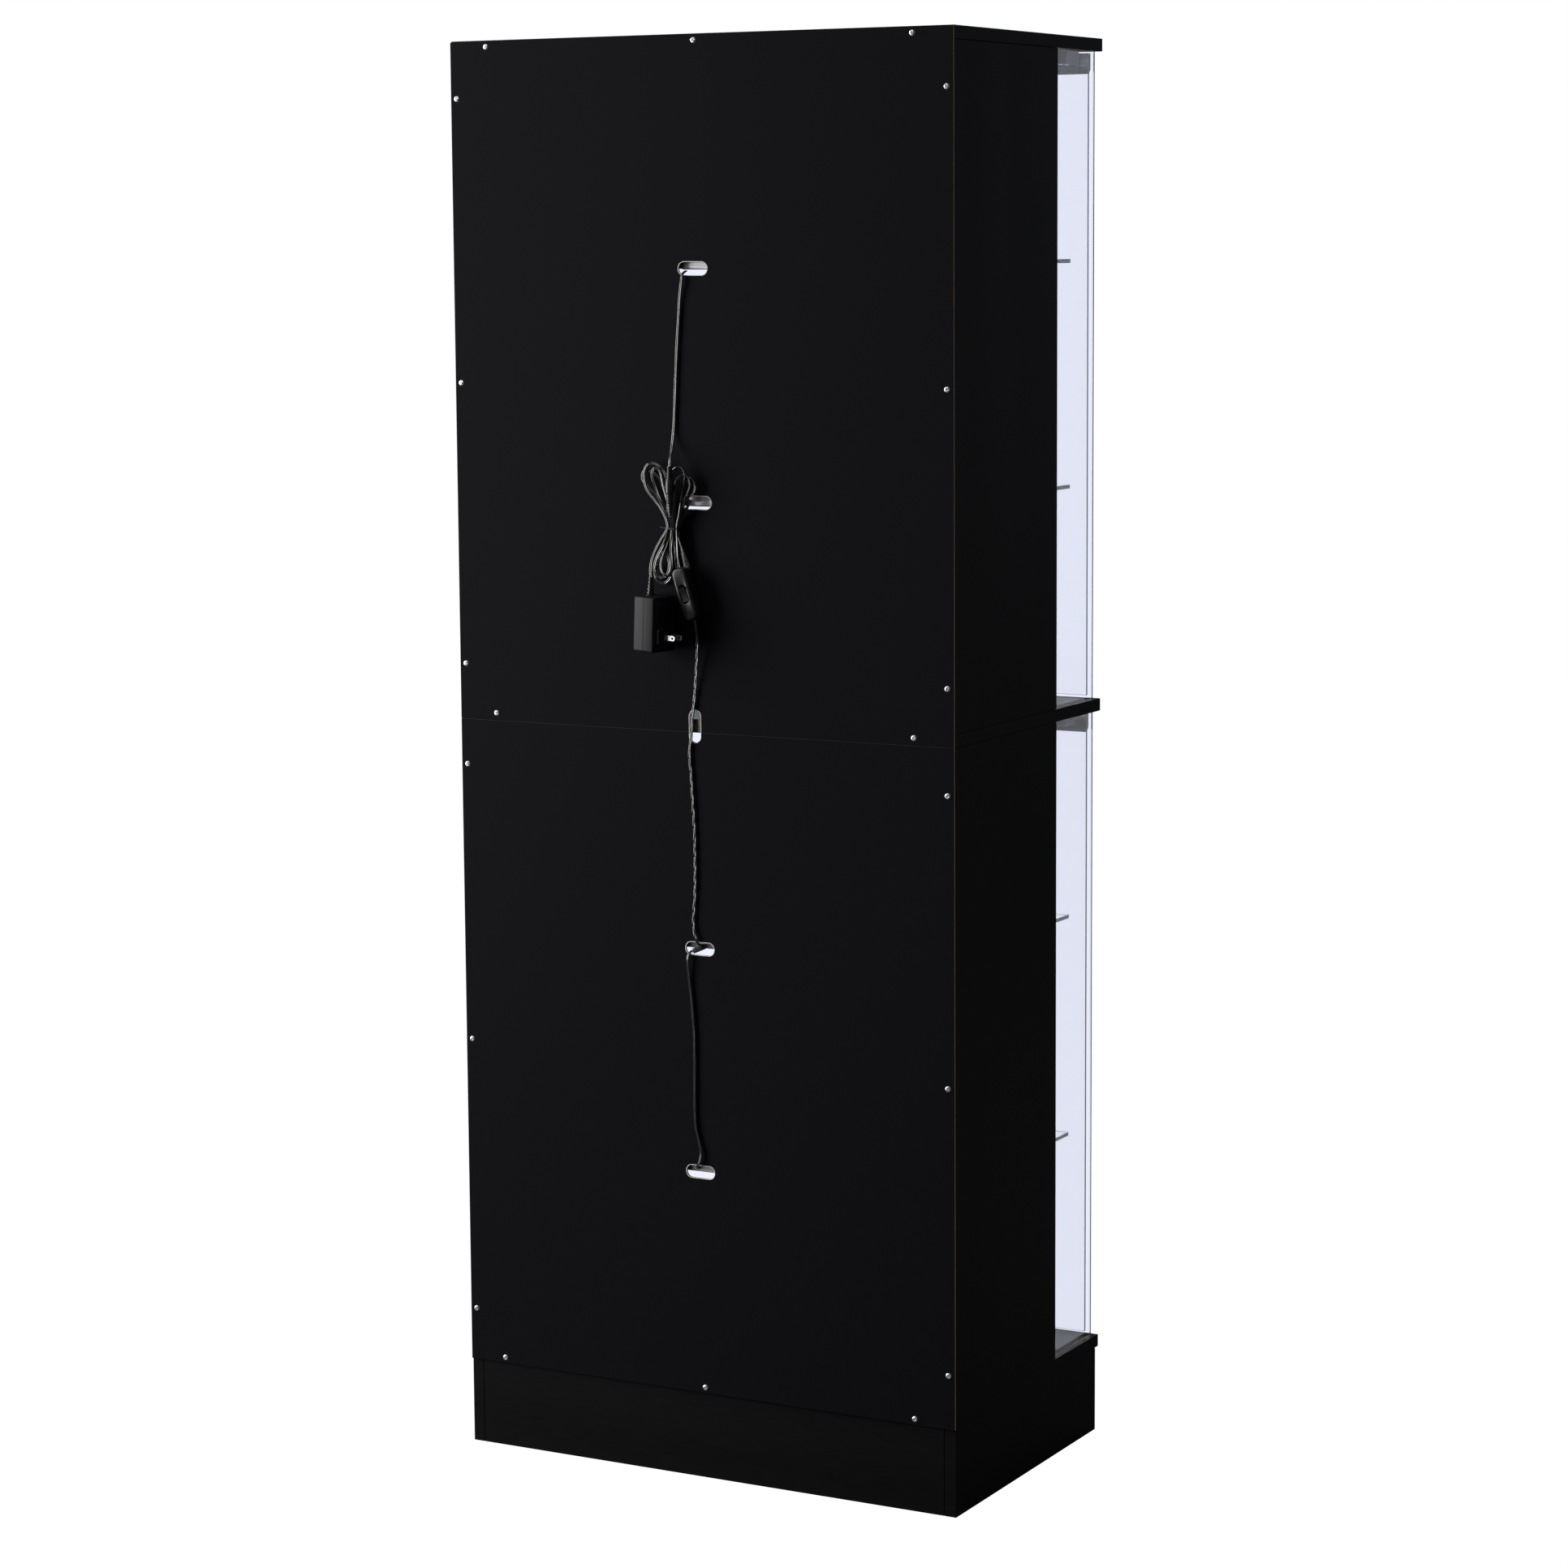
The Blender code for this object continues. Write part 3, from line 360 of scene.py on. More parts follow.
def piece(name, shape, finish, body=ROOT, place=None, replaces=(), smooth=35):
    """A bmesh as a piece on a body, with faces smoothed up to an angle in degrees."""
    bmesh.ops.recalc_face_normals(shape, faces=shape.faces)
    mesh = bpy.data.meshes.new(name)
    shape.to_mesh(mesh)
    shape.free()
    if place is not None:
        mesh.transform(place)
    mesh.materials.append(FINISH[finish])
    mesh.shade_smooth()
    mesh.set_sharp_from_angle(angle=math.radians(smooth))
    made = bpy.data.objects.new(name, mesh)
    bpy.context.scene.collection.objects.link(made)
    if replaces:
        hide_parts(*replaces)
    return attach(made, body)


def axes(x, y, z, origin):
    """The matrix that takes a maker's own X, Y and Z to these directions at origin."""
    made = Matrix((x, y, z)).transposed().to_4x4()
    made.translation = origin
    return made


def stack(rings, caps=(True, True)):
    """A bmesh skinned over rings of equally many points."""
    shape = bmesh.new()
    loops = [[shape.verts.new(point) for point in ring] for ring in rings]
    for low, high in zip(loops, loops[1:]):
        for i in range(len(low)):
            j = (i + 1) % len(low)
            shape.faces.new((low[i], low[j], high[j], high[i]))
    if caps[0]:
        shape.faces.new(loops[0][::-1])
    if caps[1]:
        shape.faces.new(loops[-1])
    return shape


def band(rings):
    """A closed band skinned over rings, the last joined to the first."""
    shape = stack([*rings, rings[0]], (False, False))
    bmesh.ops.remove_doubles(shape, verts=shape.verts, dist=1e-7)
    return shape


def rounded_ring(half_a, half_b, corner, height, steps=6):
    """A rounded rectangle round the Z axis."""
    corner = min(corner, half_a - 1e-5, half_b - 1e-5)
    ring = []
    for quarter, (side_a, side_b) in enumerate(((1, 1), (-1, 1), (-1, -1), (1, -1))):
        centre = Vector((side_a * (half_a - corner), side_b * (half_b - corner), height))
        for step in range(steps + 1):
            angle = (quarter + step / steps) * math.pi / 2
            ring.append(centre + corner * Vector((math.cos(angle), math.sin(angle), 0)))
    return ring


def layered(half_a, half_b, corner, layers, steps=6):
    """Rounded rectangles stacked by (height, inset)."""
    return [
        rounded_ring(half_a - inset, half_b - inset, max(corner - inset, 0.0002), height, steps)
        for height, inset in layers
    ]


def turned(profile, sides=28):
    """A bmesh turned round Z from (radius, height) pairs, with a flat cap at each end."""
    ways = [(math.cos(2 * math.pi * i / sides), math.sin(2 * math.pi * i / sides)) for i in range(sides)]
    return stack([[Vector((radius * x, radius * y, height)) for x, y in ways] for radius, height in profile])


def laid(shape, foot):
    """A turned shape laid along X, with its foot moved to a point."""
    bmesh.ops.rotate(shape, matrix=Matrix.Rotation(math.radians(90), 3, "Y"), verts=shape.verts)
    bmesh.ops.translate(shape, vec=foot, verts=shape.verts)
    return shape


def filleted(profile, radius=0.0002):
    """The same (radius, height) profile with every corner cut by a small chamfer."""
    made = [profile[0]]
    for before, corner, after in zip(profile, profile[1:], profile[2:]):
        corner_v = Vector(corner)
        for other in (before, after):
            way = Vector(other) - corner_v
            made.append(tuple(corner_v + way * min(0.45, radius / max(way.length, 1e-9))))
    made.append(profile[-1])
    return made


def box_shape(low, high, edge, segments=2):
    """A box between two corners, with rounded edges."""
    low, high = Vector(low), Vector(high)
    shape = bmesh.new()
    bmesh.ops.create_cube(shape, size=1.0)
    bmesh.ops.scale(shape, vec=high - low, verts=shape.verts)
    bmesh.ops.translate(shape, vec=(low + high) / 2, verts=shape.verts)
    bmesh.ops.bevel(shape, geom=shape.edges[:], offset=edge, segments=segments, profile=0.5, affect="EDGES")
    return shape


def joined(shapes):
    """One bmesh from several."""
    whole = bmesh.new()
    for shape in shapes:
        mesh = bpy.data.meshes.new("part")
        shape.to_mesh(mesh)
        shape.free()
        whole.from_mesh(mesh)
        bpy.data.meshes.remove(mesh)
    return whole


# ---------------------------------------------------------------- leads

LEAD_WIDTH = 0.0039
STRAND = 0.00098  # the radius of one of the two insulated cores
FLAT = 0.0021  # the middle of a lead that rests on the back panels is this far behind them
ROUTE_STEP = 0.0014
EASING_ROUNDS = 8
# How far a lead's flat side turns to and fro, in radians, and along what length.
PLAIN_TWIST = (0.12, 0.055)
NIPPED_TWIST = (0.25, 0.0175)
NIP_SIZE, NIP_LENGTH = 0.74, 0.0016


def behind(points):
    """Knots given as X, distance behind the back panels, and Z."""
    return [Vector((x, BACK + depth, z)) for x, depth, z in points]


def smooth_route(knots, spacing):
    """Points about spacing apart on a Catmull-Rom curve through the knots."""
    ends = [2 * knots[0] - knots[1], *knots, 2 * knots[-1] - knots[-2]]
    fine = []
    for i in range(1, len(ends) - 2):
        before, start, end, after = ends[i - 1 : i + 3]
        for step in range(24):
            t = step / 24
            fine.append(
                0.5
                * (
                    2 * start
                    + (end - before) * t
                    + (2 * before - 5 * start + 4 * end - after) * t**2
                    + (3 * start - before - 3 * end + after) * t**3
                )
            )
    fine.append(knots[-1])
    lengths = [0.0]
    for previous, point in zip(fine, fine[1:]):
        lengths.append(lengths[-1] + (point - previous).length)
    count = max(2, round(lengths[-1] / spacing))
    made, k = [], 0
    for i in range(count + 1):
        goal = lengths[-1] * i / count
        while k < len(fine) - 2 and lengths[k + 1] < goal:
            k += 1
        share = (goal - lengths[k]) / max(lengths[k + 1] - lengths[k], 1e-9)
        made.append(fine[k].lerp(fine[k + 1], share))
    return made


def relaxed(points, rounds):
    """The same route with its small kinks eased; its ends stay where they are."""
    for _ in range(rounds):
        points = [
            point if i < 2 or i > len(points) - 3 else (points[i - 1] + 2 * point + points[i + 1]) / 4
            for i, point in enumerate(points)
        ]
    return points


def twin_section():
    """The outline of a flat two-core lead: two round strands joined by a web."""
    centre = LEAD_WIDTH / 2 - STRAND
    outline = []
    for side, start in ((1, -150), (-1, 30)):
        for step in range(11):
            angle = math.radians(start + 30 * step)
            outline.append((side * centre + STRAND * math.cos(angle), STRAND * math.sin(angle)))
    return outline


def twin_lead(points, width_way, wobble, period, nips):
    """A flat two-core lead swept along points. width_way is its first broad direction; wobble is how far, in
    radians, its flat side turns to and fro along a period in metres; nips pinch it slightly once a period."""
    section = twin_section()
    rings = []
    way = Vector(width_way)
    run = 0.0
    for i, point in enumerate(points):
        ahead = points[min(i + 1, len(points) - 1)] - points[max(i - 1, 0)]
        tangent = ahead.normalized()
        way = (way - way.dot(tangent) * tangent).normalized()
        across = tangent.cross(way)
        if i:
            run += (point - points[i - 1]).length
        turn = wobble * math.sin(2 * math.pi * run / period)
        a = math.cos(turn) * way + math.sin(turn) * across
        b = tangent.cross(a)
        size = NIP_SIZE if nips and run % period < NIP_LENGTH else 1.0
        rings.append([point + size * (a * x + b * y) for x, y in section])
    return stack(rings)


def lead(name, knots, replaces, nips=False):
    """A free lead along knots, in place of the solids that it replaces."""
    points = relaxed(smooth_route(knots, ROUTE_STEP), EASING_ROUNDS)
    shape = twin_lead(points, (1, 0, 0), *(NIPPED_TWIST if nips else PLAIN_TWIST), nips)
    made = piece(name, shape, "lead", replaces=replaces, smooth=60)


# ---------------------------------------------------------------- things on the leads

SWITCH_CENTRE = Vector((0.0078, BACK + 0.0125, 1.1220))
SWITCH_TURN = Euler((0, math.radians(17), 0))
SWITCH_HALF = (0.01015, 0.0095, 0.0330)
SWITCH_CORNER = 0.0078
SWITCH_UNDER = ((0, 0.0030), (0.0003, 0.0018), (0.0010, 0.0008), (0.0022, 0.0002), (0.0036, 0))
SWITCH_PARTING = ((0.0012, 0), (0.0013, 0.0003), (0.0018, 0.0003), (0.0019, 0))
SWITCH_OVER = ((0.0034, 0.0001), (0.0020, 0.0004), (0.0009, 0.0011), (0.0003, 0.0019), (0, 0.0030))
SWITCH_POCKET = ((0, 0.0006), (0.0003, 0.0), (0.0045, -0.0001), (0.0050, -0.0001))
ROCKER_AXIS = 0.0073
ROCKER_REST = -9
ROCKER_ARM, ROCKER_HALF_WIDTH = 0.0090, 0.0042
ADAPTER_CENTRE = Vector((0.0476, BACK + 0.0255, 1.0853))
ADAPTER_TURN = Euler((0, math.radians(-2.4), math.radians(-11)))
ADAPTER_HALF = (0.01625, 0.0210, 0.03425)
PLUG_BASE_DROP = 0.0150
PLATE_RISE = 0.0165
BLADE_LENGTH, BLADE_HALF_WIDTH, BLADE_HALF_THICK = 0.0180, 0.003175, 0.00075
BLADE_HOLE, BLADE_CORNER = 0.0016, 0.0016
SLEEVE_SPOT, SLEEVE_LENGTH = (0.0055, 0.0020), 0.0220
SOCKET_AXIS = (0.0275, BACK + 0.0190)
SOCKET_TOP, SOCKET_BODY, SOCKET_RELIEF = 1.2777, 0.0185, 0.0145
PLUG_BODY, PLUG_RELIEF, PLUG_OUT = 0.0214, 0.0150, 0.0089
TIE_Z = 1.2010
SLOT_4_LEAN = 24
SLOT_4_SHIFT = Vector((0.0115, 0, -0.0050))


def local_frame(centre, turn):
    """The matrix of a thing that is turned about its centre."""
    made = turn.to_matrix().to_4x4()
    made.translation = centre
    return made


def moved(rings, way):
    """The same rings, each point moved."""
    return [[point + Vector(way) for point in ring] for ring in rings]


def ribbed(top, length, tip, base, ribs, notch=0.0008):
    """The outside of a strain relief with square ribs, from its tip at top down to its base."""
    profile = []
    pitch = length / ribs
    for rib in range(ribs):
        high = top - rib * pitch
        radius = tip + (base - tip) * (rib + 0.5) / ribs
        profile += [(radius, high), (radius, high - 0.6 * pitch)]
        profile += [(radius - notch, high - 0.6 * pitch), (radius - notch, high - pitch)]
    return profile


def switch_shell(here):
    """The switch's soft-edged shell in two halves, with a pocket for the rocker."""
    half_x, half_y, half_z = SWITCH_HALF
    layers = [(-half_y + up, inset) for up, inset in SWITCH_UNDER]
    layers += [*SWITCH_PARTING, *((half_y - down, inset) for down, inset in SWITCH_OVER)]
    rings = layered(half_x, half_z, SWITCH_CORNER, layers, 10)
    for down, out in SWITCH_POCKET:
        rings.append(rounded_ring(0.0050 + out, 0.0120 + out, 0.0049 + out, half_y - down, 10))
    facing = here @ axes((1, 0, 0), (0, 0, -1), (0, 1, 0), (0, 0, 0))
    return piece("switch_shell", stack(rings), "moulded", place=facing, replaces=["switch_body"], smooth=50)


def switch_rocker(here):
    """The rocker, drawn from its side: along the switch and out of it. Its two ends rise from a dip."""
    arm, width, steps = ROCKER_ARM, ROCKER_HALF_WIDTH, 12
    outline = []
    for i in range(steps + 1):
        turn = math.cos(math.pi * i / steps)
        outline.append((arm * turn, -0.0016 + 0.0012 * abs(turn)))
    for i in range(steps + 1):
        outline.append((-arm + 2 * arm * i / steps, 0.0014 + 0.0016 * abs(2 * i / steps - 1) ** 1.6))
    rounding = ((0, 0.90), (0.0003, 0.97), (0.0008, 1.0))
    edges = [(-width + inwards, scale) for inwards, scale in rounding]
    edges += [(width - inwards, scale) for inwards, scale in rounding[::-1]]
    shape = stack([[Vector((a * scale, b * scale, x)) for a, b in outline] for x, scale in edges])
    rest = Matrix.Rotation(math.radians(ROCKER_REST), 4, "X")
    side_on = axes((0, 0, -1), (0, 1, 0), (1, 0, 0), (0, 0, 0))
    seat = here @ Matrix.Translation((0, ROCKER_AXIS, 0)) @ rest @ side_on
    return piece("switch_rocker_key", shape, "moulded", "switch_rocker", seat, ["switch_rocker"], 40)


def switch():
    """The inline switch: its shell, its rocker, and a soft collar round the lead at each end."""
    here = local_frame(SWITCH_CENTRE, SWITCH_TURN)
    made = [switch_shell(here), switch_rocker(here)]
    profile = [(ON_AXIS, -0.001), (0.0030, -0.001), (0.0029, 0.0004), (0.0024, 0.0010), (ON_AXIS, 0.0011)]
    for sign, name in ((1, "upper"), (-1, "lower")):
        way = here.to_3x3() @ Vector((0, 0, sign))
        foot = here @ Vector((0, 0, sign * (SWITCH_HALF[2] - 0.0006)))
        place = Matrix.Translation(foot) @ way.to_track_quat("Z", "Y").to_matrix().to_4x4()
        made.append(piece(f"switch_{name}_collar", turned(profile, 20), "rubber", place=place))
    return made


def adapter_housing(here):
    """Two stippled half shells with a parting line, the plug base on them, and the blank rating plate."""
    half_x, half_y, half_z = ADAPTER_HALF
    rounding = ((0, 0.0022), (0.0003, 0.0012), (0.0011, 0.0004), (0.0024, 0))
    edge = [(-half_x + up, inset) for up, inset in rounding]
    parting = [(-0.0003, 0), (-0.00025, 0.0004), (0.00025, 0.0004), (0.0003, 0)]
    layers = [*edge, *parting, *((-height, inset) for height, inset in edge[::-1])]
    shell = stack(layered(half_y, half_z, 0.0030, layers))
    steps = ((-0.001, 0), (0.0040, 0.0003), (0.0047, 0.0007), (0.0050, 0.0016))
    base = layered(0.0165, 0.0105, 0.0040, [(-half_x - out, inset) for out, inset in steps])
    plug_base = stack(moved(base, (0, -PLUG_BASE_DROP, 0)))
    steps = ((-0.0002, 0), (0.0002, 0), (0.0003, 0.0003))
    plate = layered(0.0160, 0.0120, 0.0015, [(-half_x - out, inset) for out, inset in steps])
    across = here @ axes((0, 1, 0), (0, 0, 1), (1, 0, 0), (0, 0, 0))
    shape = joined([shell, plug_base])
    body = piece("adapter_housing", shape, "stippled", place=across, replaces=["power_adapter"])
    plate_shape = stack(moved(plate, (0, PLATE_RISE, 0)))
    return [body, piece("adapter_rating_plate", plate_shape, "moulded", place=across)]


def blade_outline(root, steps=16):
    """A blade's broad face and the round hole near its end; the two far corners are cut back."""
    tip = root - BLADE_LENGTH
    hole_x = tip + 0.004
    outline, hole = [], []
    for i in range(steps):
        angle = 2 * math.pi * i / steps
        c, s = math.cos(angle), math.sin(angle)
        hole.append(Vector((hole_x + BLADE_HOLE * c, BLADE_HOLE * s)))
        reach = (root - hole_x) if c > 0 else (hole_x - tip)
        scale = min(reach / max(abs(c), 1e-6), BLADE_HALF_WIDTH / max(abs(s), 1e-6))
        point = Vector((hole_x + scale * c, scale * s))
        if i in (1, steps - 1):
            point = Vector((root, math.copysign(BLADE_HALF_WIDTH, s)))
        over = abs(point.y) - BLADE_HALF_WIDTH - (point.x - tip) + BLADE_CORNER
        if c < 0 and over > 0:
            point.x += over * 0.5
            point.y -= math.copysign(over * 0.5, point.y)
        outline.append(point)
    return outline, hole


def blade(here, root, node, y):
    """A flat blade with a hole through it, and the moulded lip that it comes out of."""
    outline, hole = blade_outline(root)
    middle = Vector((root - BLADE_LENGTH / 2, 0))
    thick = BLADE_HALF_THICK
    rings = []
    for flat, inset, source in (
        (-thick, 0.0, hole),
        (-thick, 0.00015, outline),
        (-thick + 0.0002, 0.0, outline),
        (thick - 0.0002, 0.0, outline),
        (thick, 0.00015, outline),
        (thick, 0.0, hole),
    ):
        places = [point + (middle - point).normalized() * inset for point in source]
        rings.append([Vector((place.x, y + flat, place.y - PLUG_BASE_DROP)) for place in places])
    metal = piece(f"{node}_blade", band(rings), "nickel", place=here, replaces=[node], smooth=25)
    half_y, half_z = 0.00115, 0.0036
    low = (root - 0.0012, y - half_y, -PLUG_BASE_DROP - half_z)
    high = (root + 0.0008, y + half_y, -PLUG_BASE_DROP + half_z)
    return [metal, piece(f"{node}_sleeve", box_shape(low, high, 0.0003), "moulded", place=here)]


def adapter_sleeve(here):
    """The ribbed sleeve that the lead leaves the adapter by, and the collar at its foot."""
    top = here @ Matrix.Translation((*SLEEVE_SPOT, ADAPTER_HALF[2]))
    ribs = ribbed(SLEEVE_LENGTH, SLEEVE_LENGTH, 0.0027, 0.0046, 5)
    profile = [(ON_AXIS, SLEEVE_LENGTH), *ribs, (ON_AXIS, 0)]
    foot = here @ Matrix.Translation((*SLEEVE_SPOT, ADAPTER_HALF[2] + GAP))
    shape = turned(filleted(profile))
    sleeve = piece("adapter_sleeve", shape, "rubber", place=foot, replaces=["adapter_strain_relief"])
    ring = ((ON_AXIS, -0.0005), (0.0060, -0.0005), (0.0060, 0.0007), (0.0054, 0.0012), (ON_AXIS, 0.0012))
    return [sleeve, piece("adapter_sleeve_collar", turned(ring), "moulded", place=top)]


def adapter():
    """The wall adapter; the two pieces of its sleeve are returned, as they ride on the lead."""
    here = local_frame(ADAPTER_CENTRE, ADAPTER_TURN)
    adapter_housing(here)
    root = -ADAPTER_HALF[0] - 0.0053
    blade(here, root, "plug_blade_front", 0.00635)
    blade(here, root, "plug_blade_rear", -0.00635)
    return adapter_sleeve(here)


def dc_socket(mouth):
    """The round socket on the first light's lead, its mouth down."""
    top = SOCKET_BODY + SOCKET_RELIEF
    profile = [(ON_AXIS, top), *ribbed(top, SOCKET_RELIEF, 0.0033, 0.0042, 4), (0.0047, SOCKET_BODY)]
    profile += [(0.0047, 0.0160), (0.0055, 0.0155), (0.0055, 0.0012), (0.0050, 0.0), (0.0036, 0)]
    profile += [(0.0036, 0.0080), (ON_AXIS, 0.0080)]
    place = Matrix.Translation((*SOCKET_AXIS, mouth))
    shape = turned(filleted(profile))
    return piece("dc_socket", shape, "moulded", place=place, replaces=["low_voltage_socket"])


def dc_plug(mouth):
    """The adapter's round plug, its tip up in the socket."""
    top = PLUG_BODY + PLUG_RELIEF
    profile = [(ON_AXIS, top), *ribbed(top, PLUG_RELIEF, 0.0022, 0.0034, 4)]
    profile += [(0.0038, PLUG_BODY), (0.0046, 0.0206)]
    for groove in range(3):
        height = 0.0190 - groove * 0.0030
        steps = ((0.0046, 0), (0.0043, 0.0004), (0.0043, 0.0009), (0.0046, 0.0013))
        profile += [(radius, height - down) for radius, down in steps]
    profile += [(0.0046, 0.0092), (0.0027, 0.0092), (0.0027, 0.0010), (0.0024, 0.0008), (ON_AXIS, 0.0008)]
    upside_down = Matrix.Translation((*SOCKET_AXIS, mouth + PLUG_OUT)) @ Matrix.Rotation(math.pi, 4, "X")
    shape = turned(filleted(profile, 0.00015))
    return piece("dc_plug", shape, "moulded", place=upside_down, replaces=["low_voltage_plug"])


def tie_band(low, high):
    """The tie's band round the waist, a little wavy, as a closed ribbon."""
    half_x, half_y = (high.x - low.x) / 2, (high.y - low.y) / 2
    outer = rounded_ring(half_x, half_y, 0.0040, 0, 8)
    inner = rounded_ring(half_x - 0.0006, half_y - 0.0006, 0.0034, 0, 8)
    half = 0.00125
    rings = []
    for source, height in ((inner, -half), (outer, -half * 0.8), (outer, half * 0.8), (inner, half)):
        waves = [height + 0.0004 * math.sin(3 * i / len(source) * math.pi) for i in range(len(source))]
        rings.append([Vector((p.x, p.y, wave)) for p, wave in zip(source, waves)])
    shape = band(rings)
    bmesh.ops.translate(shape, vec=(low + high) / 2, verts=shape.verts)
    return shape


def tie_end(start, turn, radius=0.00062, steps=32):
    """One of the tie's two ends, twisted round the other."""
    points = []
    for i in range(steps + 1):
        t = i / steps
        spin = turn + t * 5.2 * math.pi
        middle = start + Vector((0.0080 * t, 0.0008 * t, 0.0006 + 0.0016 * t * t))
        points.append(middle + radius * Vector((0, math.cos(spin), math.sin(spin))))
    rings = []
    for i, point in enumerate(points):
        tangent = (points[min(i + 1, steps)] - points[max(i - 1, 0)]).normalized()
        side = tangent.cross(Vector((0, 0, 1))).normalized()
        up = side.cross(tangent)
        turns = [k * math.pi / 4 for k in range(8)]
        rings.append([point + radius * (math.cos(t) * side + math.sin(t) * up) for t in turns])
    return stack(rings)


def tie():
    """A flat wire tie round the waist of the bundle, its two ends twisted together at the left."""
    low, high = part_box("bundle_tie")
    start = Vector((high.x - 0.0012, high.y - 0.0016, TIE_Z))
    shapes = [tie_band(low, high), tie_end(start, 0), tie_end(start, math.pi)]
    return piece("wire_tie", joined(shapes), "rubber", replaces=["bundle_tie"], smooth=50)


def connector(number, finish, lean=None):
    """A small two-pin connector with two latch ribs, on the solid that it replaces."""
    node = f"slot_{number}_connector"
    low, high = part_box(node)
    shapes = [box_shape(low, high, 0.0005, 3)]
    size = high - low
    long = max(range(3), key=lambda axis: size[axis])
    for share in (0.30, 0.62):
        a, b = low.copy(), high.copy()
        a[long] = low[long] + share * size[long]
        b[long] = a[long] + 0.10 * size[long]
        a.x -= 0.0001
        b.y += 0.0002
        shapes.append(box_shape(a, b, 0.0001, 1))
    return piece(f"{node}_shell", joined(shapes), finish, place=lean, replaces=[node])


def crimped_pins(low, high, place):
    """The two crimped pins that stick out of the fourth slot's connector."""
    profile = [(ON_AXIS, -0.0010), (0.0005, -0.0010), (0.0005, 0.0016), (ON_AXIS, 0.0018)]
    pins = []
    for lift in (-0.0014, 0.0014):
        foot = (high.x + 0.0008, high.y - 0.0020, (low.z + high.z) / 2 + lift)
        pins.append(laid(turned(filleted(profile), 12), foot))
    piece("slot_4_connector_pins", joined(pins), "nickel", place=place)


def connectors():
    """The connectors that show in three slots; the fourth slot's hangs tipped beside its solid."""
    low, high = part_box("slot_4_connector")
    centre = (low + high) / 2
    lean = Matrix.Rotation(math.radians(SLOT_4_LEAN), 4, "Y")
    tipped = Matrix.Translation(centre + SLOT_4_SHIFT) @ lean @ Matrix.Translation(-centre)
    made = {2: connector(2, "white"), 3: connector(3, "moulded"), 4: connector(4, "moulded", tipped)}
    crimped_pins(low, high, tipped)
    return made


# Out of the first slot, and down to the socket.
SLOT_1_ROUTE = (
    (0.0165, -0.0065, 1.5150), (0.0170, -0.0027, 1.5134), (0.0172, 0.0010, 1.5121),
    (0.0172, 0.0032, 1.5088), (0.0170, 0.0038, 1.5040), (0.0178, 0.0036, 1.4990),
    (0.0193, 0.0030, 1.4909), (0.0208, 0.0025, 1.4808), (0.0218, FLAT, 1.4707),
    (0.0230, FLAT, 1.4545), (0.0249, FLAT, 1.4303), (0.0264, FLAT, 1.4050),
    (0.0288, FLAT, 1.3600), (0.0306, FLAT, 1.3280), (0.0314, 0.0032, 1.3140),
    (0.0312, 0.0062, 1.3030), (0.0301, 0.0115, 1.2935), (0.0285, 0.0166, 1.2868),
    (0.0276, 0.0187, 1.2820), (0.0275, 0.0190, 1.2774),
)

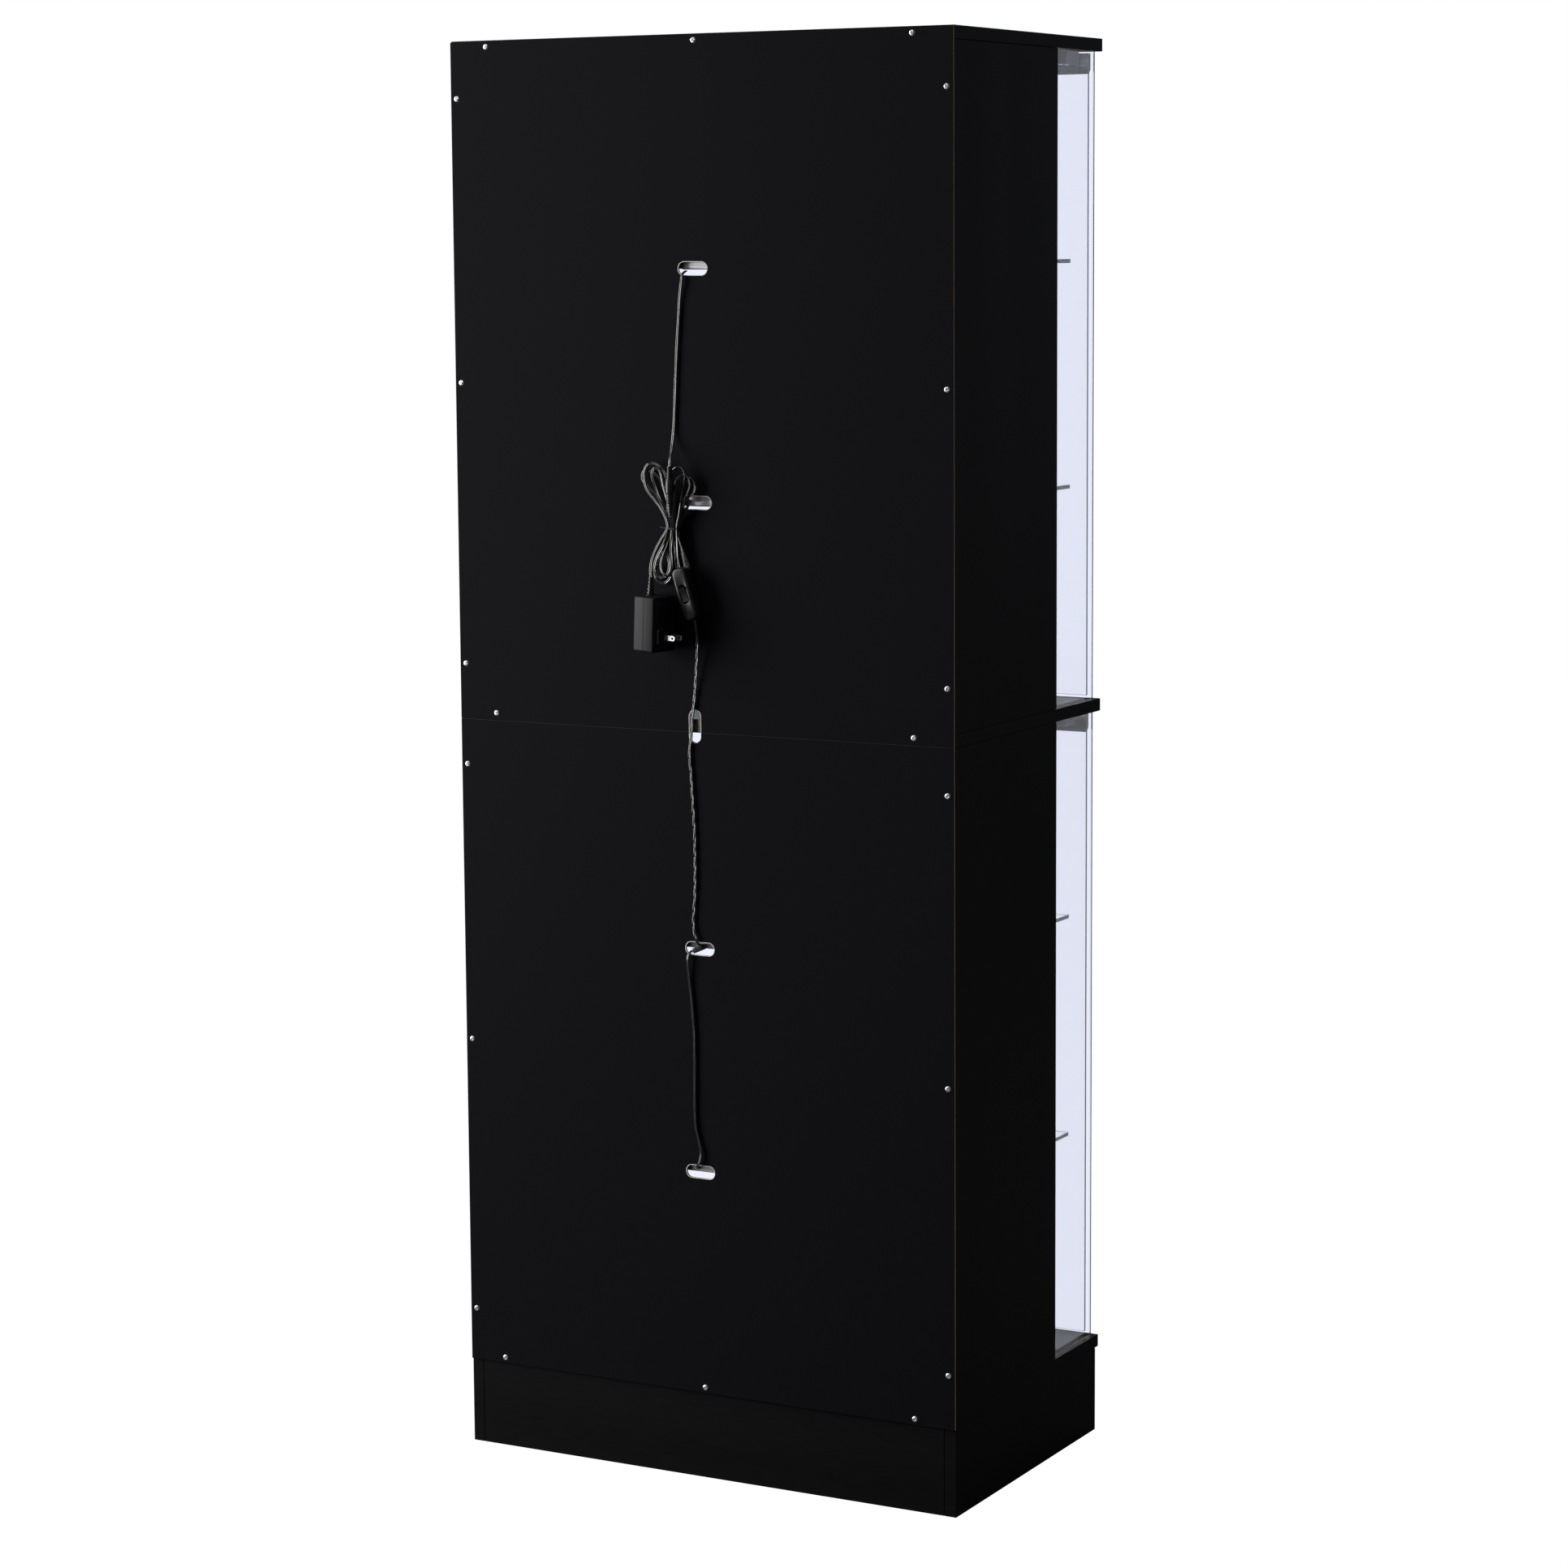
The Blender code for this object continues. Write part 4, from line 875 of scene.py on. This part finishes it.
# From above the adapter's sleeve through the left hank to the plug.
ADAPTER_LOOPS = (
    (0.0485, 0.0166, 1.1776), (0.0432, 0.0136, 1.1886), (0.0384, 0.0119, 1.1960),
    # up through the tie, round the high left loop, and down again
    (0.0358, 0.0109, 1.2014), (0.0366, 0.0106, 1.2090), (0.0406, 0.0103, 1.2176),
    (0.0456, 0.0098, 1.2254), (0.0514, 0.0094, 1.2320), (0.0574, 0.0091, 1.2382),
    (0.0632, 0.0088, 1.2442), (0.0676, 0.0086, 1.2512), (0.0698, 0.0084, 1.2594),
    (0.0704, 0.0082, 1.2678), (0.0684, 0.0080, 1.2756), (0.0632, 0.0078, 1.2800),
    (0.0572, 0.0074, 1.2806), (0.0510, 0.0070, 1.2786), (0.0452, 0.0068, 1.2746),
    (0.0408, 0.0066, 1.2684), (0.0384, 0.0066, 1.2596), (0.0374, 0.0068, 1.2470),
    (0.0370, 0.0072, 1.2320), (0.0364, 0.0078, 1.2160), (0.0358, 0.0083, 1.2014),
    # the teardrop below the tie
    (0.0378, 0.0088, 1.1922), (0.0414, 0.0091, 1.1836), (0.0458, 0.0092, 1.1762),
    (0.0504, 0.0091, 1.1688), (0.0544, 0.0088, 1.1610), (0.0567, 0.0084, 1.1532),
    (0.0564, 0.0080, 1.1466), (0.0532, 0.0075, 1.1416), (0.0482, 0.0070, 1.1394),
    (0.0426, 0.0064, 1.1413), (0.0386, 0.0058, 1.1464), (0.0371, 0.0052, 1.1532),
    (0.0378, 0.0047, 1.1608), (0.0400, 0.0043, 1.1684), (0.0412, 0.0040, 1.1766),
    (0.0402, 0.0036, 1.1854), (0.0378, 0.0032, 1.1934),
    # up again, round the wide left loop, and down at the back
    (0.0358, 0.0029, 1.2014), (0.0382, 0.0029, 1.2110), (0.0428, 0.0031, 1.2206),
    (0.0482, 0.0036, 1.2312), (0.0548, 0.0040, 1.2408), (0.0622, 0.0043, 1.2476),
    (0.0688, 0.0045, 1.2534), (0.0736, 0.0046, 1.2588), (0.0750, 0.0046, 1.2652),
    (0.0728, 0.0046, 1.2706), (0.0674, 0.0046, 1.2722), (0.0620, 0.0046, 1.2698),
    (0.0566, 0.0044, 1.2672), (0.0510, 0.0042, 1.2626), (0.0460, 0.0040, 1.2560),
    (0.0416, 0.0038, 1.2474), (0.0380, 0.0036, 1.2366), (0.0348, 0.0034, 1.2240),
    (0.0326, 0.0031, 1.2120), (0.0319, 0.0029, 1.2014),
    # the lower loop behind the teardrop
    (0.0334, 0.0036, 1.1920), (0.0364, 0.0049, 1.1840), (0.0408, 0.0060, 1.1770),
    (0.0460, 0.0062, 1.1700), (0.0514, 0.0061, 1.1620), (0.0558, 0.0058, 1.1538),
    (0.0578, 0.0056, 1.1454), (0.0564, 0.0052, 1.1380), (0.0520, 0.0048, 1.1336),
    (0.0464, 0.0045, 1.1326), (0.0408, 0.0044, 1.1350), (0.0364, 0.0046, 1.1406),
    (0.0340, 0.0050, 1.1488), (0.0336, 0.0054, 1.1590), (0.0340, 0.0056, 1.1700),
    (0.0338, 0.0056, 1.1820), (0.0328, 0.0056, 1.1920),
    # up to the upright hairpin, and down in front
    (0.0319, 0.0057, 1.2014), (0.0334, 0.0060, 1.2100), (0.0374, 0.0064, 1.2186),
    (0.0424, 0.0066, 1.2264), (0.0470, 0.0070, 1.2336), (0.0508, 0.0078, 1.2430),
    (0.0542, 0.0090, 1.2534), (0.0568, 0.0102, 1.2616), (0.0574, 0.0108, 1.2684),
    (0.0550, 0.0112, 1.2742), (0.0500, 0.0113, 1.2754), (0.0456, 0.0112, 1.2714),
    (0.0438, 0.0108, 1.2630), (0.0418, 0.0105, 1.2520), (0.0382, 0.0103, 1.2412),
    (0.0350, 0.0099, 1.2300), (0.0330, 0.0093, 1.2160), (0.0320, 0.0085, 1.2014),
    # the small loop inside the teardrop, and up to the plug
    (0.0340, 0.0079, 1.1920), (0.0376, 0.0077, 1.1840), (0.0420, 0.0076, 1.1754),
    (0.0460, 0.0075, 1.1662), (0.0482, 0.0075, 1.1568), (0.0468, 0.0078, 1.1478),
    (0.0416, 0.0082, 1.1430), (0.0356, 0.0086, 1.1446), (0.0318, 0.0088, 1.1520),
    (0.0314, 0.0092, 1.1640), (0.0320, 0.0096, 1.1760), (0.0304, 0.0103, 1.1890),
    (0.0286, 0.0110, 1.2014), (0.0281, 0.0127, 1.2056), (0.0278, 0.0153, 1.2095),
    (0.0276, 0.0176, 1.2130), (0.0275, 0.0187, 1.2156), (0.0275, 0.0190, 1.2180),
)

# Out of the second slot, through the right hank to the top of the switch.
SLOT_2_ROUTE = (
    (0.0062, 0.0040, 1.2362), (0.0078, 0.0058, 1.2330), (0.0102, 0.0056, 1.2285),
    (0.0150, 0.0046, 1.2205), (0.0192, 0.0044, 1.2138), (0.0226, 0.0038, 1.2070),
    (0.0248, 0.0032, 1.2000),
    # behind the switch and up again
    (0.0244, 0.0030, 1.1910), (0.0222, 0.0030, 1.1780), (0.0194, 0.0028, 1.1660),
    (0.0170, 0.0023, 1.1564), (0.0164, 0.0017, 1.1490), (0.0186, 0.0016, 1.1426),
    (0.0242, 0.0016, 1.1396), (0.0298, 0.0016, 1.1426), (0.0322, 0.0018, 1.1496),
    (0.0320, 0.0024, 1.1576), (0.0314, 0.0030, 1.1690), (0.0302, 0.0031, 1.1840),
    (0.0286, 0.0030, 1.2014),
    # the wide right loop
    (0.0294, 0.0033, 1.2140), (0.0300, 0.0042, 1.2280), (0.0288, 0.0054, 1.2400),
    (0.0254, 0.0068, 1.2492), (0.0206, 0.0080, 1.2554), (0.0152, 0.0089, 1.2610),
    (0.0094, 0.0093, 1.2638), (0.0036, 0.0090, 1.2628), (-0.0006, 0.0084, 1.2586),
    (-0.0020, 0.0078, 1.2518), (-0.0008, 0.0075, 1.2468), (0.0040, 0.0075, 1.2430),
    (0.0098, 0.0076, 1.2396), (0.0146, 0.0076, 1.2330), (0.0182, 0.0073, 1.2240),
    (0.0216, 0.0066, 1.2130), (0.0248, 0.0058, 1.2000),
    # behind the switch again, beside the first turn
    (0.0234, 0.0054, 1.1906), (0.0199, 0.0048, 1.1774), (0.0164, 0.0038, 1.1654),
    (0.0136, 0.0026, 1.1564), (0.0128, 0.0018, 1.1490), (0.0148, 0.0016, 1.1420),
    (0.0204, 0.0016, 1.1386), (0.0262, 0.0016, 1.1416), (0.0288, 0.0018, 1.1492),
    (0.0288, 0.0026, 1.1580), (0.0286, 0.0040, 1.1690), (0.0284, 0.0050, 1.1840),
    (0.0286, 0.0057, 1.2014),
    # the upper right loop
    (0.0292, 0.0066, 1.2140), (0.0294, 0.0075, 1.2280), (0.0284, 0.0086, 1.2420),
    (0.0260, 0.0098, 1.2520), (0.0226, 0.0108, 1.2594), (0.0184, 0.0113, 1.2648),
    (0.0128, 0.0113, 1.2676), (0.0076, 0.0109, 1.2654), (0.0043, 0.0104, 1.2596),
    (0.0044, 0.0101, 1.2534), (0.0068, 0.0100, 1.2474), (0.0108, 0.0101, 1.2410),
    (0.0154, 0.0103, 1.2326), (0.0190, 0.0101, 1.2220), (0.0222, 0.0092, 1.2106),
    (0.0249, 0.0085, 1.2006),
    # a third time behind the switch
    (0.0226, 0.0076, 1.1904), (0.0180, 0.0064, 1.1770), (0.0134, 0.0050, 1.1650),
    (0.0102, 0.0032, 1.1564), (0.0094, 0.0020, 1.1490), (0.0114, 0.0016, 1.1416),
    (0.0170, 0.0016, 1.1382), (0.0226, 0.0016, 1.1416), (0.0250, 0.0018, 1.1492),
    (0.0252, 0.0028, 1.1580), (0.0258, 0.0046, 1.1690), (0.0270, 0.0066, 1.1840),
    (0.0284, 0.0083, 1.2014),
    # the tall loop behind the socket
    (0.0306, 0.0088, 1.2140), (0.0324, 0.0094, 1.2300), (0.0334, 0.0098, 1.2460),
    (0.0328, 0.0102, 1.2600), (0.0294, 0.0106, 1.2704), (0.0236, 0.0109, 1.2756),
    (0.0170, 0.0112, 1.2764), (0.0124, 0.0114, 1.2730), (0.0106, 0.0115, 1.2664),
    (0.0116, 0.0116, 1.2580), (0.0140, 0.0116, 1.2490), (0.0160, 0.0115, 1.2380),
    (0.0180, 0.0112, 1.2260), (0.0208, 0.0108, 1.2130), (0.0234, 0.0106, 1.2016),
    (0.0228, 0.0110, 1.1906), (0.0220, 0.0116, 1.1790), (0.0212, 0.0122, 1.1688),
    (0.0200, 0.0125, 1.1616), (0.0187, 0.0125, 1.1570), (0.0176, 0.0125, 1.1536),
)

# From the foot of the switch past the upright slot and into the fourth.
SWITCH_ROUTE = (
    (-0.0018, 0.0125, 1.0904), (-0.0034, 0.0122, 1.0830), (-0.0041, 0.0112, 1.0720),
    (-0.0036, 0.0090, 1.0590), (-0.0018, 0.0068, 1.0440), (0.0010, 0.0045, 1.0250),
    (0.0035, 0.0030, 1.0050), (0.0059, FLAT, 0.9853), (0.0086, FLAT, 0.9688),
    (0.0103, FLAT, 0.9443), (0.0121, FLAT, 0.9340), (0.0130, FLAT, 0.9230),
    (0.0126, FLAT, 0.9137), (0.0115, FLAT, 0.9037), (0.0103, FLAT, 0.8855),
    (0.0083, FLAT, 0.8550), (0.0068, FLAT, 0.8240), (0.0064, FLAT, 0.7850),
    (0.0070, FLAT, 0.7500), (0.0091, FLAT, 0.7213), (0.0097, FLAT, 0.7110),
    (0.0088, 0.0025, 0.7020), (0.0062, 0.0031, 0.6930), (0.0044, 0.0034, 0.6878),
    (0.0036, 0.0014, 0.6842), (0.0031, -0.0075, 0.6818),
)

# Out of the fourth slot, and down into the fifth.
SLOT_5_ROUTE = (
    (0.0128, -0.0060, 0.6756), (0.0150, -0.0022, 0.6746), (0.0163, 0.0010, 0.6731),
    (0.0170, 0.0034, 0.6706), (0.0172, 0.0044, 0.6670), (0.0172, 0.0042, 0.6600),
    (0.0170, 0.0032, 0.6500), (0.0161, 0.0024, 0.6360), (0.0138, FLAT, 0.6170),
    (0.0119, FLAT, 0.5960), (0.0103, FLAT, 0.5740), (0.0098, FLAT, 0.5430),
    (0.0101, FLAT, 0.5090), (0.0103, FLAT, 0.4750), (0.0094, FLAT, 0.4540),
    (0.0068, FLAT, 0.4420), (0.0034, 0.0024, 0.4300), (0.0016, 0.0030, 0.4210),
    (0.0022, 0.0036, 0.4130), (0.0046, 0.0034, 0.4070), (0.0070, 0.0030, 0.4022),
    (0.0090, 0.0002, 0.3996), (0.0110, -0.0075, 0.3980),
)

# The lead's first steps up from the tip of the adapter's sleeve.
ADAPTER_RISE = ((0, 0, 0), (0.0004, -0.0002, 0.0060), (0.0010, -0.0020, 0.0140), (0.0008, -0.0060, 0.0240))


def all_leads():
    """What hangs on the leads, and the five leads themselves."""
    shell, rocker, upper_collar, lower_collar = switch()
    sleeve = adapter()
    mouth = SOCKET_TOP - SOCKET_RELIEF - SOCKET_BODY
    socket, plug = dc_socket(mouth), dc_plug(mouth)
    waist = tie()
    plugs = connectors()
    lead("slot_1_cord", behind(SLOT_1_ROUTE), ["slot_1_lead"])
    tip = Vector((*SLEEVE_SPOT, ADAPTER_HALF[2] + SLEEVE_LENGTH + 0.0002))
    rise = [ADAPTER_CENTRE + ADAPTER_TURN.to_matrix() @ tip + Vector(step) for step in ADAPTER_RISE]
    lead(
        "adapter_cord",
        [*rise, *behind(ADAPTER_LOOPS)],
        ["adapter_lead", "adapter_lead_hank"],
    )
    lead(
        "slot_2_cord",
        behind(SLOT_2_ROUTE),
        ["slot_2_lead", "light_lead_hank"],
    )
    lead(
        "switch_to_slot_4_cord",
        behind(SWITCH_ROUTE),
        ["switch_to_slot_4_lead"],
        nips=True,
    )
    lead("slot_4_to_slot_5_cord", behind(SLOT_5_ROUTE), ["slot_4_to_slot_5_lead"])


# ---------------------------------------------------------------- fittings

SCREW_SIDE_X = 0.341
SCREW_SIDE_Z = (1.729, 1.3755, 1.020, 0.891, 0.534, 0.178)
# The screws into the top, middle and base boards, as (x, z).
SCREW_ROWS = [(-0.296, 1.792), (0.0, 1.792), (0.297, 1.792), (-0.296, 0.9586), (0.296, 0.9586)]
SCREW_ROWS += [(-0.295, 0.1177), (0.0, 0.1177), (0.298, 0.1177)]
# Each slot's middle, as (x, z), and whether it stands upright.
CABLE_SLOTS = (
    (0.0035, 1.5180, False),
    (0.0005, 1.2330, False),
    (0.0020, 0.6785, False),
    (0.0040, 0.3950, False),
    (0.0060, 0.9568, True),
)
SLOT_HALF = (0.02025, 0.0080)
SHELF_PIN_Y = (0.160, -0.055)
CLIP_REACH = 0.0250
FILM = 0.00002


def cross_head(radius, dome, spin):
    """A pan head with a cross recess, in rings round Z with its top up."""
    sides, steps = 32, 12
    arm, reach, depth = 0.17 * radius, 0.62 * radius, 0.55 * dome
    rings = []
    for step in range(steps, 0, -1):
        r = radius * step / steps
        ring = []
        for i in range(sides):
            angle = 2 * math.pi * i / sides
            x, y = r * math.cos(angle), r * math.sin(angle)
            height = dome * (1 - (r / radius) ** 4)
            slot = min(abs(x), abs(y)) < arm and max(abs(x), abs(y)) < reach
            sunk = min(1, (reach - max(abs(x), abs(y))) / (0.35 * reach)) if slot else 0
            ring.append(Vector((x, y, height - depth * sunk)))
        rings.append(ring)
    skirt = [Vector((p.x, p.y, -0.0006)) for p in rings[0]]
    shape = stack([skirt, *rings])
    bmesh.ops.rotate(shape, matrix=Matrix.Rotation(spin, 3, "Z"), verts=shape.verts)
    return shape


def back_screws():
    """The zinc screws that hold the back panels to the boards."""
    spots = [(side * SCREW_SIDE_X, z) for z in SCREW_SIDE_Z for side in (-1, 1)]
    chance = random.Random(4)
    for number, (x, z) in enumerate(spots + SCREW_ROWS, 1):
        place = axes((1, 0, 0), (0, 0, -1), (0, 1, 0), (x, BACK, z))
        shape = cross_head(0.0039, 0.0016, chance.uniform(0, math.pi))
        piece(f"back_screw_{number:02d}", shape, "steel", place=place, smooth=30)


def shelf_pins():
    """A spoon pin under each corner of each glass shelf."""
    flange = [(0.0024, 0.0085), (0.0024, 0.0), (0.0036, 0.0), (0.0036, -0.0009)]
    profile = [(ON_AXIS, 0.0085), *flange, (ON_AXIS, -0.0009)]
    for shelf in range(1, 5):
        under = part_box(f"glass_shelf_{shelf}")[0].z - GAP
        corners = [(side, y) for y in SHELF_PIN_Y for side in (-1, 1)]
        for corner, (side, y) in enumerate(corners, 1):
            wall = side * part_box("upper_side_panel_right")[0].x
            inward = Vector((-side, 0, 0))
            place = axes(inward, inward.cross(Vector((0, 0, 1))) * -1, (0, 0, 1), (wall, y, under))
            stem = laid(turned(filleted(profile), 20), (0.0012, 0, -0.0034))
            spoon = box_shape((0.0008, -0.0034, -0.0011), (0.0095, 0.0034, 0.0), 0.0004)
            piece(f"shelf_{shelf}_pin_{corner}", joined([stem, spoon]), "steel", place=place)


def clip_liners():
    """Rubber liners between the doors' glass and their clips."""
    for section in SECTIONS:
        glass_low, glass_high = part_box(f"{section}_door_glass")
        for kind in ("top_hinge", "bottom_hinge", "strike_clip"):
            node = f"{section}_door_{kind}"
            low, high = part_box(node)
            over = kind != "bottom_hinge"
            edge = glass_high.z if over else glass_low.z
            near, far = (edge - CLIP_REACH + 0.0008, edge) if over else (edge, edge + CLIP_REACH - 0.0008)
            liners = []
            for y, out in ((glass_low.y, -1), (glass_high.y, 1)):
                faces = sorted((y + out * 0.00004, y + out * 0.00056))
                a = (max(low.x + 0.0004, glass_low.x + 0.0004), faces[0], near)
                b = (min(high.x - 0.0004, glass_high.x - 0.0004), faces[1], far)
                liners.append(box_shape(a, b, 0.0001, 1))
            piece(f"{node}_liner", joined(liners), "rubber", f"{section}_door")


def light_details():
    """A milky diffuser under each shelf light, and a moulded cap at each of its ends."""
    for number in range(1, 5):
        low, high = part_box(f"shelf_light_{number}")
        layers = ((0.0, 0.0), (-0.0006, 0.0002), (-0.0009, 0.0008))
        rings = layered(0.0265, 0.0042, 0.0040, layers)
        place = Matrix.Translation(((low.x + high.x) / 2, low.y + 0.0070, low.z))
        piece(f"light_diffuser_{number}", stack(rings), "milky", place=place)
        for side, edge, name in ((-1, low.x, "left"), (1, high.x, "right")):
            faces = sorted((edge - side * 0.0001, edge + side * 0.0012))
            a = (faces[0], low.y + 0.0004, low.z + 0.0003)
            b = (faces[1], high.y - 0.0002, high.z - 0.0002)
            piece(f"light_cap_{number}_{name}", box_shape(a, b, 0.0003), "grey")


def groove_core(section, board, up, side):
    """The raw particle board that shows in one pane's groove, as a thin channel."""
    board_low, board_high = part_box(board)
    face = board_high.z if up > 0 else board_low.z
    low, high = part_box(f"{section}_side_glass_{side}")
    start, end = low.y - 0.0013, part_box(f"{section}_side_panel_{side}")[0].y - 0.0002
    outer, inner = face - up * 0.00002, face - up * 0.0054
    bottom, top = sorted((outer, inner))
    shapes = []
    for x, way in ((low.x, -1), (high.x, 1)):
        faces = sorted((x + way * 0.00022, x + way * 0.00038))
        shapes.append(box_shape((faces[0], start, bottom), (faces[1], end, top), FILM, 1))
    floor = sorted((inner, inner + up * 0.0002))
    shapes.append(box_shape((low.x - 0.0003, start, floor[0]), (high.x + 0.0003, end, floor[1]), FILM, 1))
    piece(f"{board}_groove_{'over' if up > 0 else 'under'}_{side}", joined(shapes), "core")


def groove_cores():
    """The raw grooves of the boards over and under each side pane."""
    grooves = (
        ("upper", "top_board", -1),
        ("upper", "middle_board", 1),
        ("lower", "middle_board", -1),
        ("lower", "base_board", 1),
    )
    for section, board, up in grooves:
        for side in ("left", "right"):
            groove_core(section, board, up, side)


def back_panel_seam():
    """A near-black strip of fibre that closes the joint of the two back panels: painted shade, so the joint
    shows as a dark line.
    """
    low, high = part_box("upper_back_panel")
    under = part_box("lower_back_panel")[1].z
    a = (low.x + 0.001, low.y + 0.0002, under + 0.00003)
    b = (high.x - 0.001, high.y - 0.0004, low.z - 0.00003)
    piece("back_panel_seam", box_shape(a, b, FILM, 1), "shadowed")


def middle_board_raw_edge():
    """The chipped edge of the middle board that shows in the upright slot."""
    low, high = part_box("middle_board")
    a = (-0.0030, high.y + 0.00005, low.z + 0.0003)
    b = (0.0145, high.y + 0.0002, high.z - 0.0003)
    piece("middle_board_raw_edge", box_shape(a, b, 0.00003, 1), "chipped")


def slot_rims():
    """The torn lip of raw fibre round each slot of the back panels."""
    lip = ((-0.0001, -0.0004), (0.0, 0.00008), (0.0004, 0.00010), (0.0007, 0.0), (0.0007, -0.0001))
    for number, (x, z, upright) in enumerate(CABLE_SLOTS, 1):
        half_x, half_z = SLOT_HALF[::-1] if upright else SLOT_HALF
        rings = [rounded_ring(half_x + out, half_z + out, 0.0079 + out, height, 10) for out, height in lip]
        place = axes((1, 0, 0), (0, 0, -1), (0, 1, 0), (x, BACK + GAP / 3, z))
        piece(f"slot_lip_{number}", band(rings), "fibre", place=place)


def latch_screws():
    """Two small screws under each push latch."""
    for section in SECTIONS:
        low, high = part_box(f"{section}_latch_body")
        for number, share in enumerate((0.30, 0.80), 1):
            spot = ((low.x + high.x) / 2, low.y + share * (high.y - low.y), low.z)
            place = axes((1, 0, 0), (0, -1, 0), (0, 0, -1), spot)
            shape = cross_head(0.0026, 0.0010, 0.4 * number)
            piece(f"{section}_latch_screw_{number}", shape, "steel", place=place)


set_camera()
set_world()
set_lights()
set_floor()
paint_nodes()
all_leads()
back_screws()
shelf_pins()
clip_liners()
light_details()
groove_cores()
back_panel_seam()
middle_board_raw_edge()
latch_screws()
slot_rims()
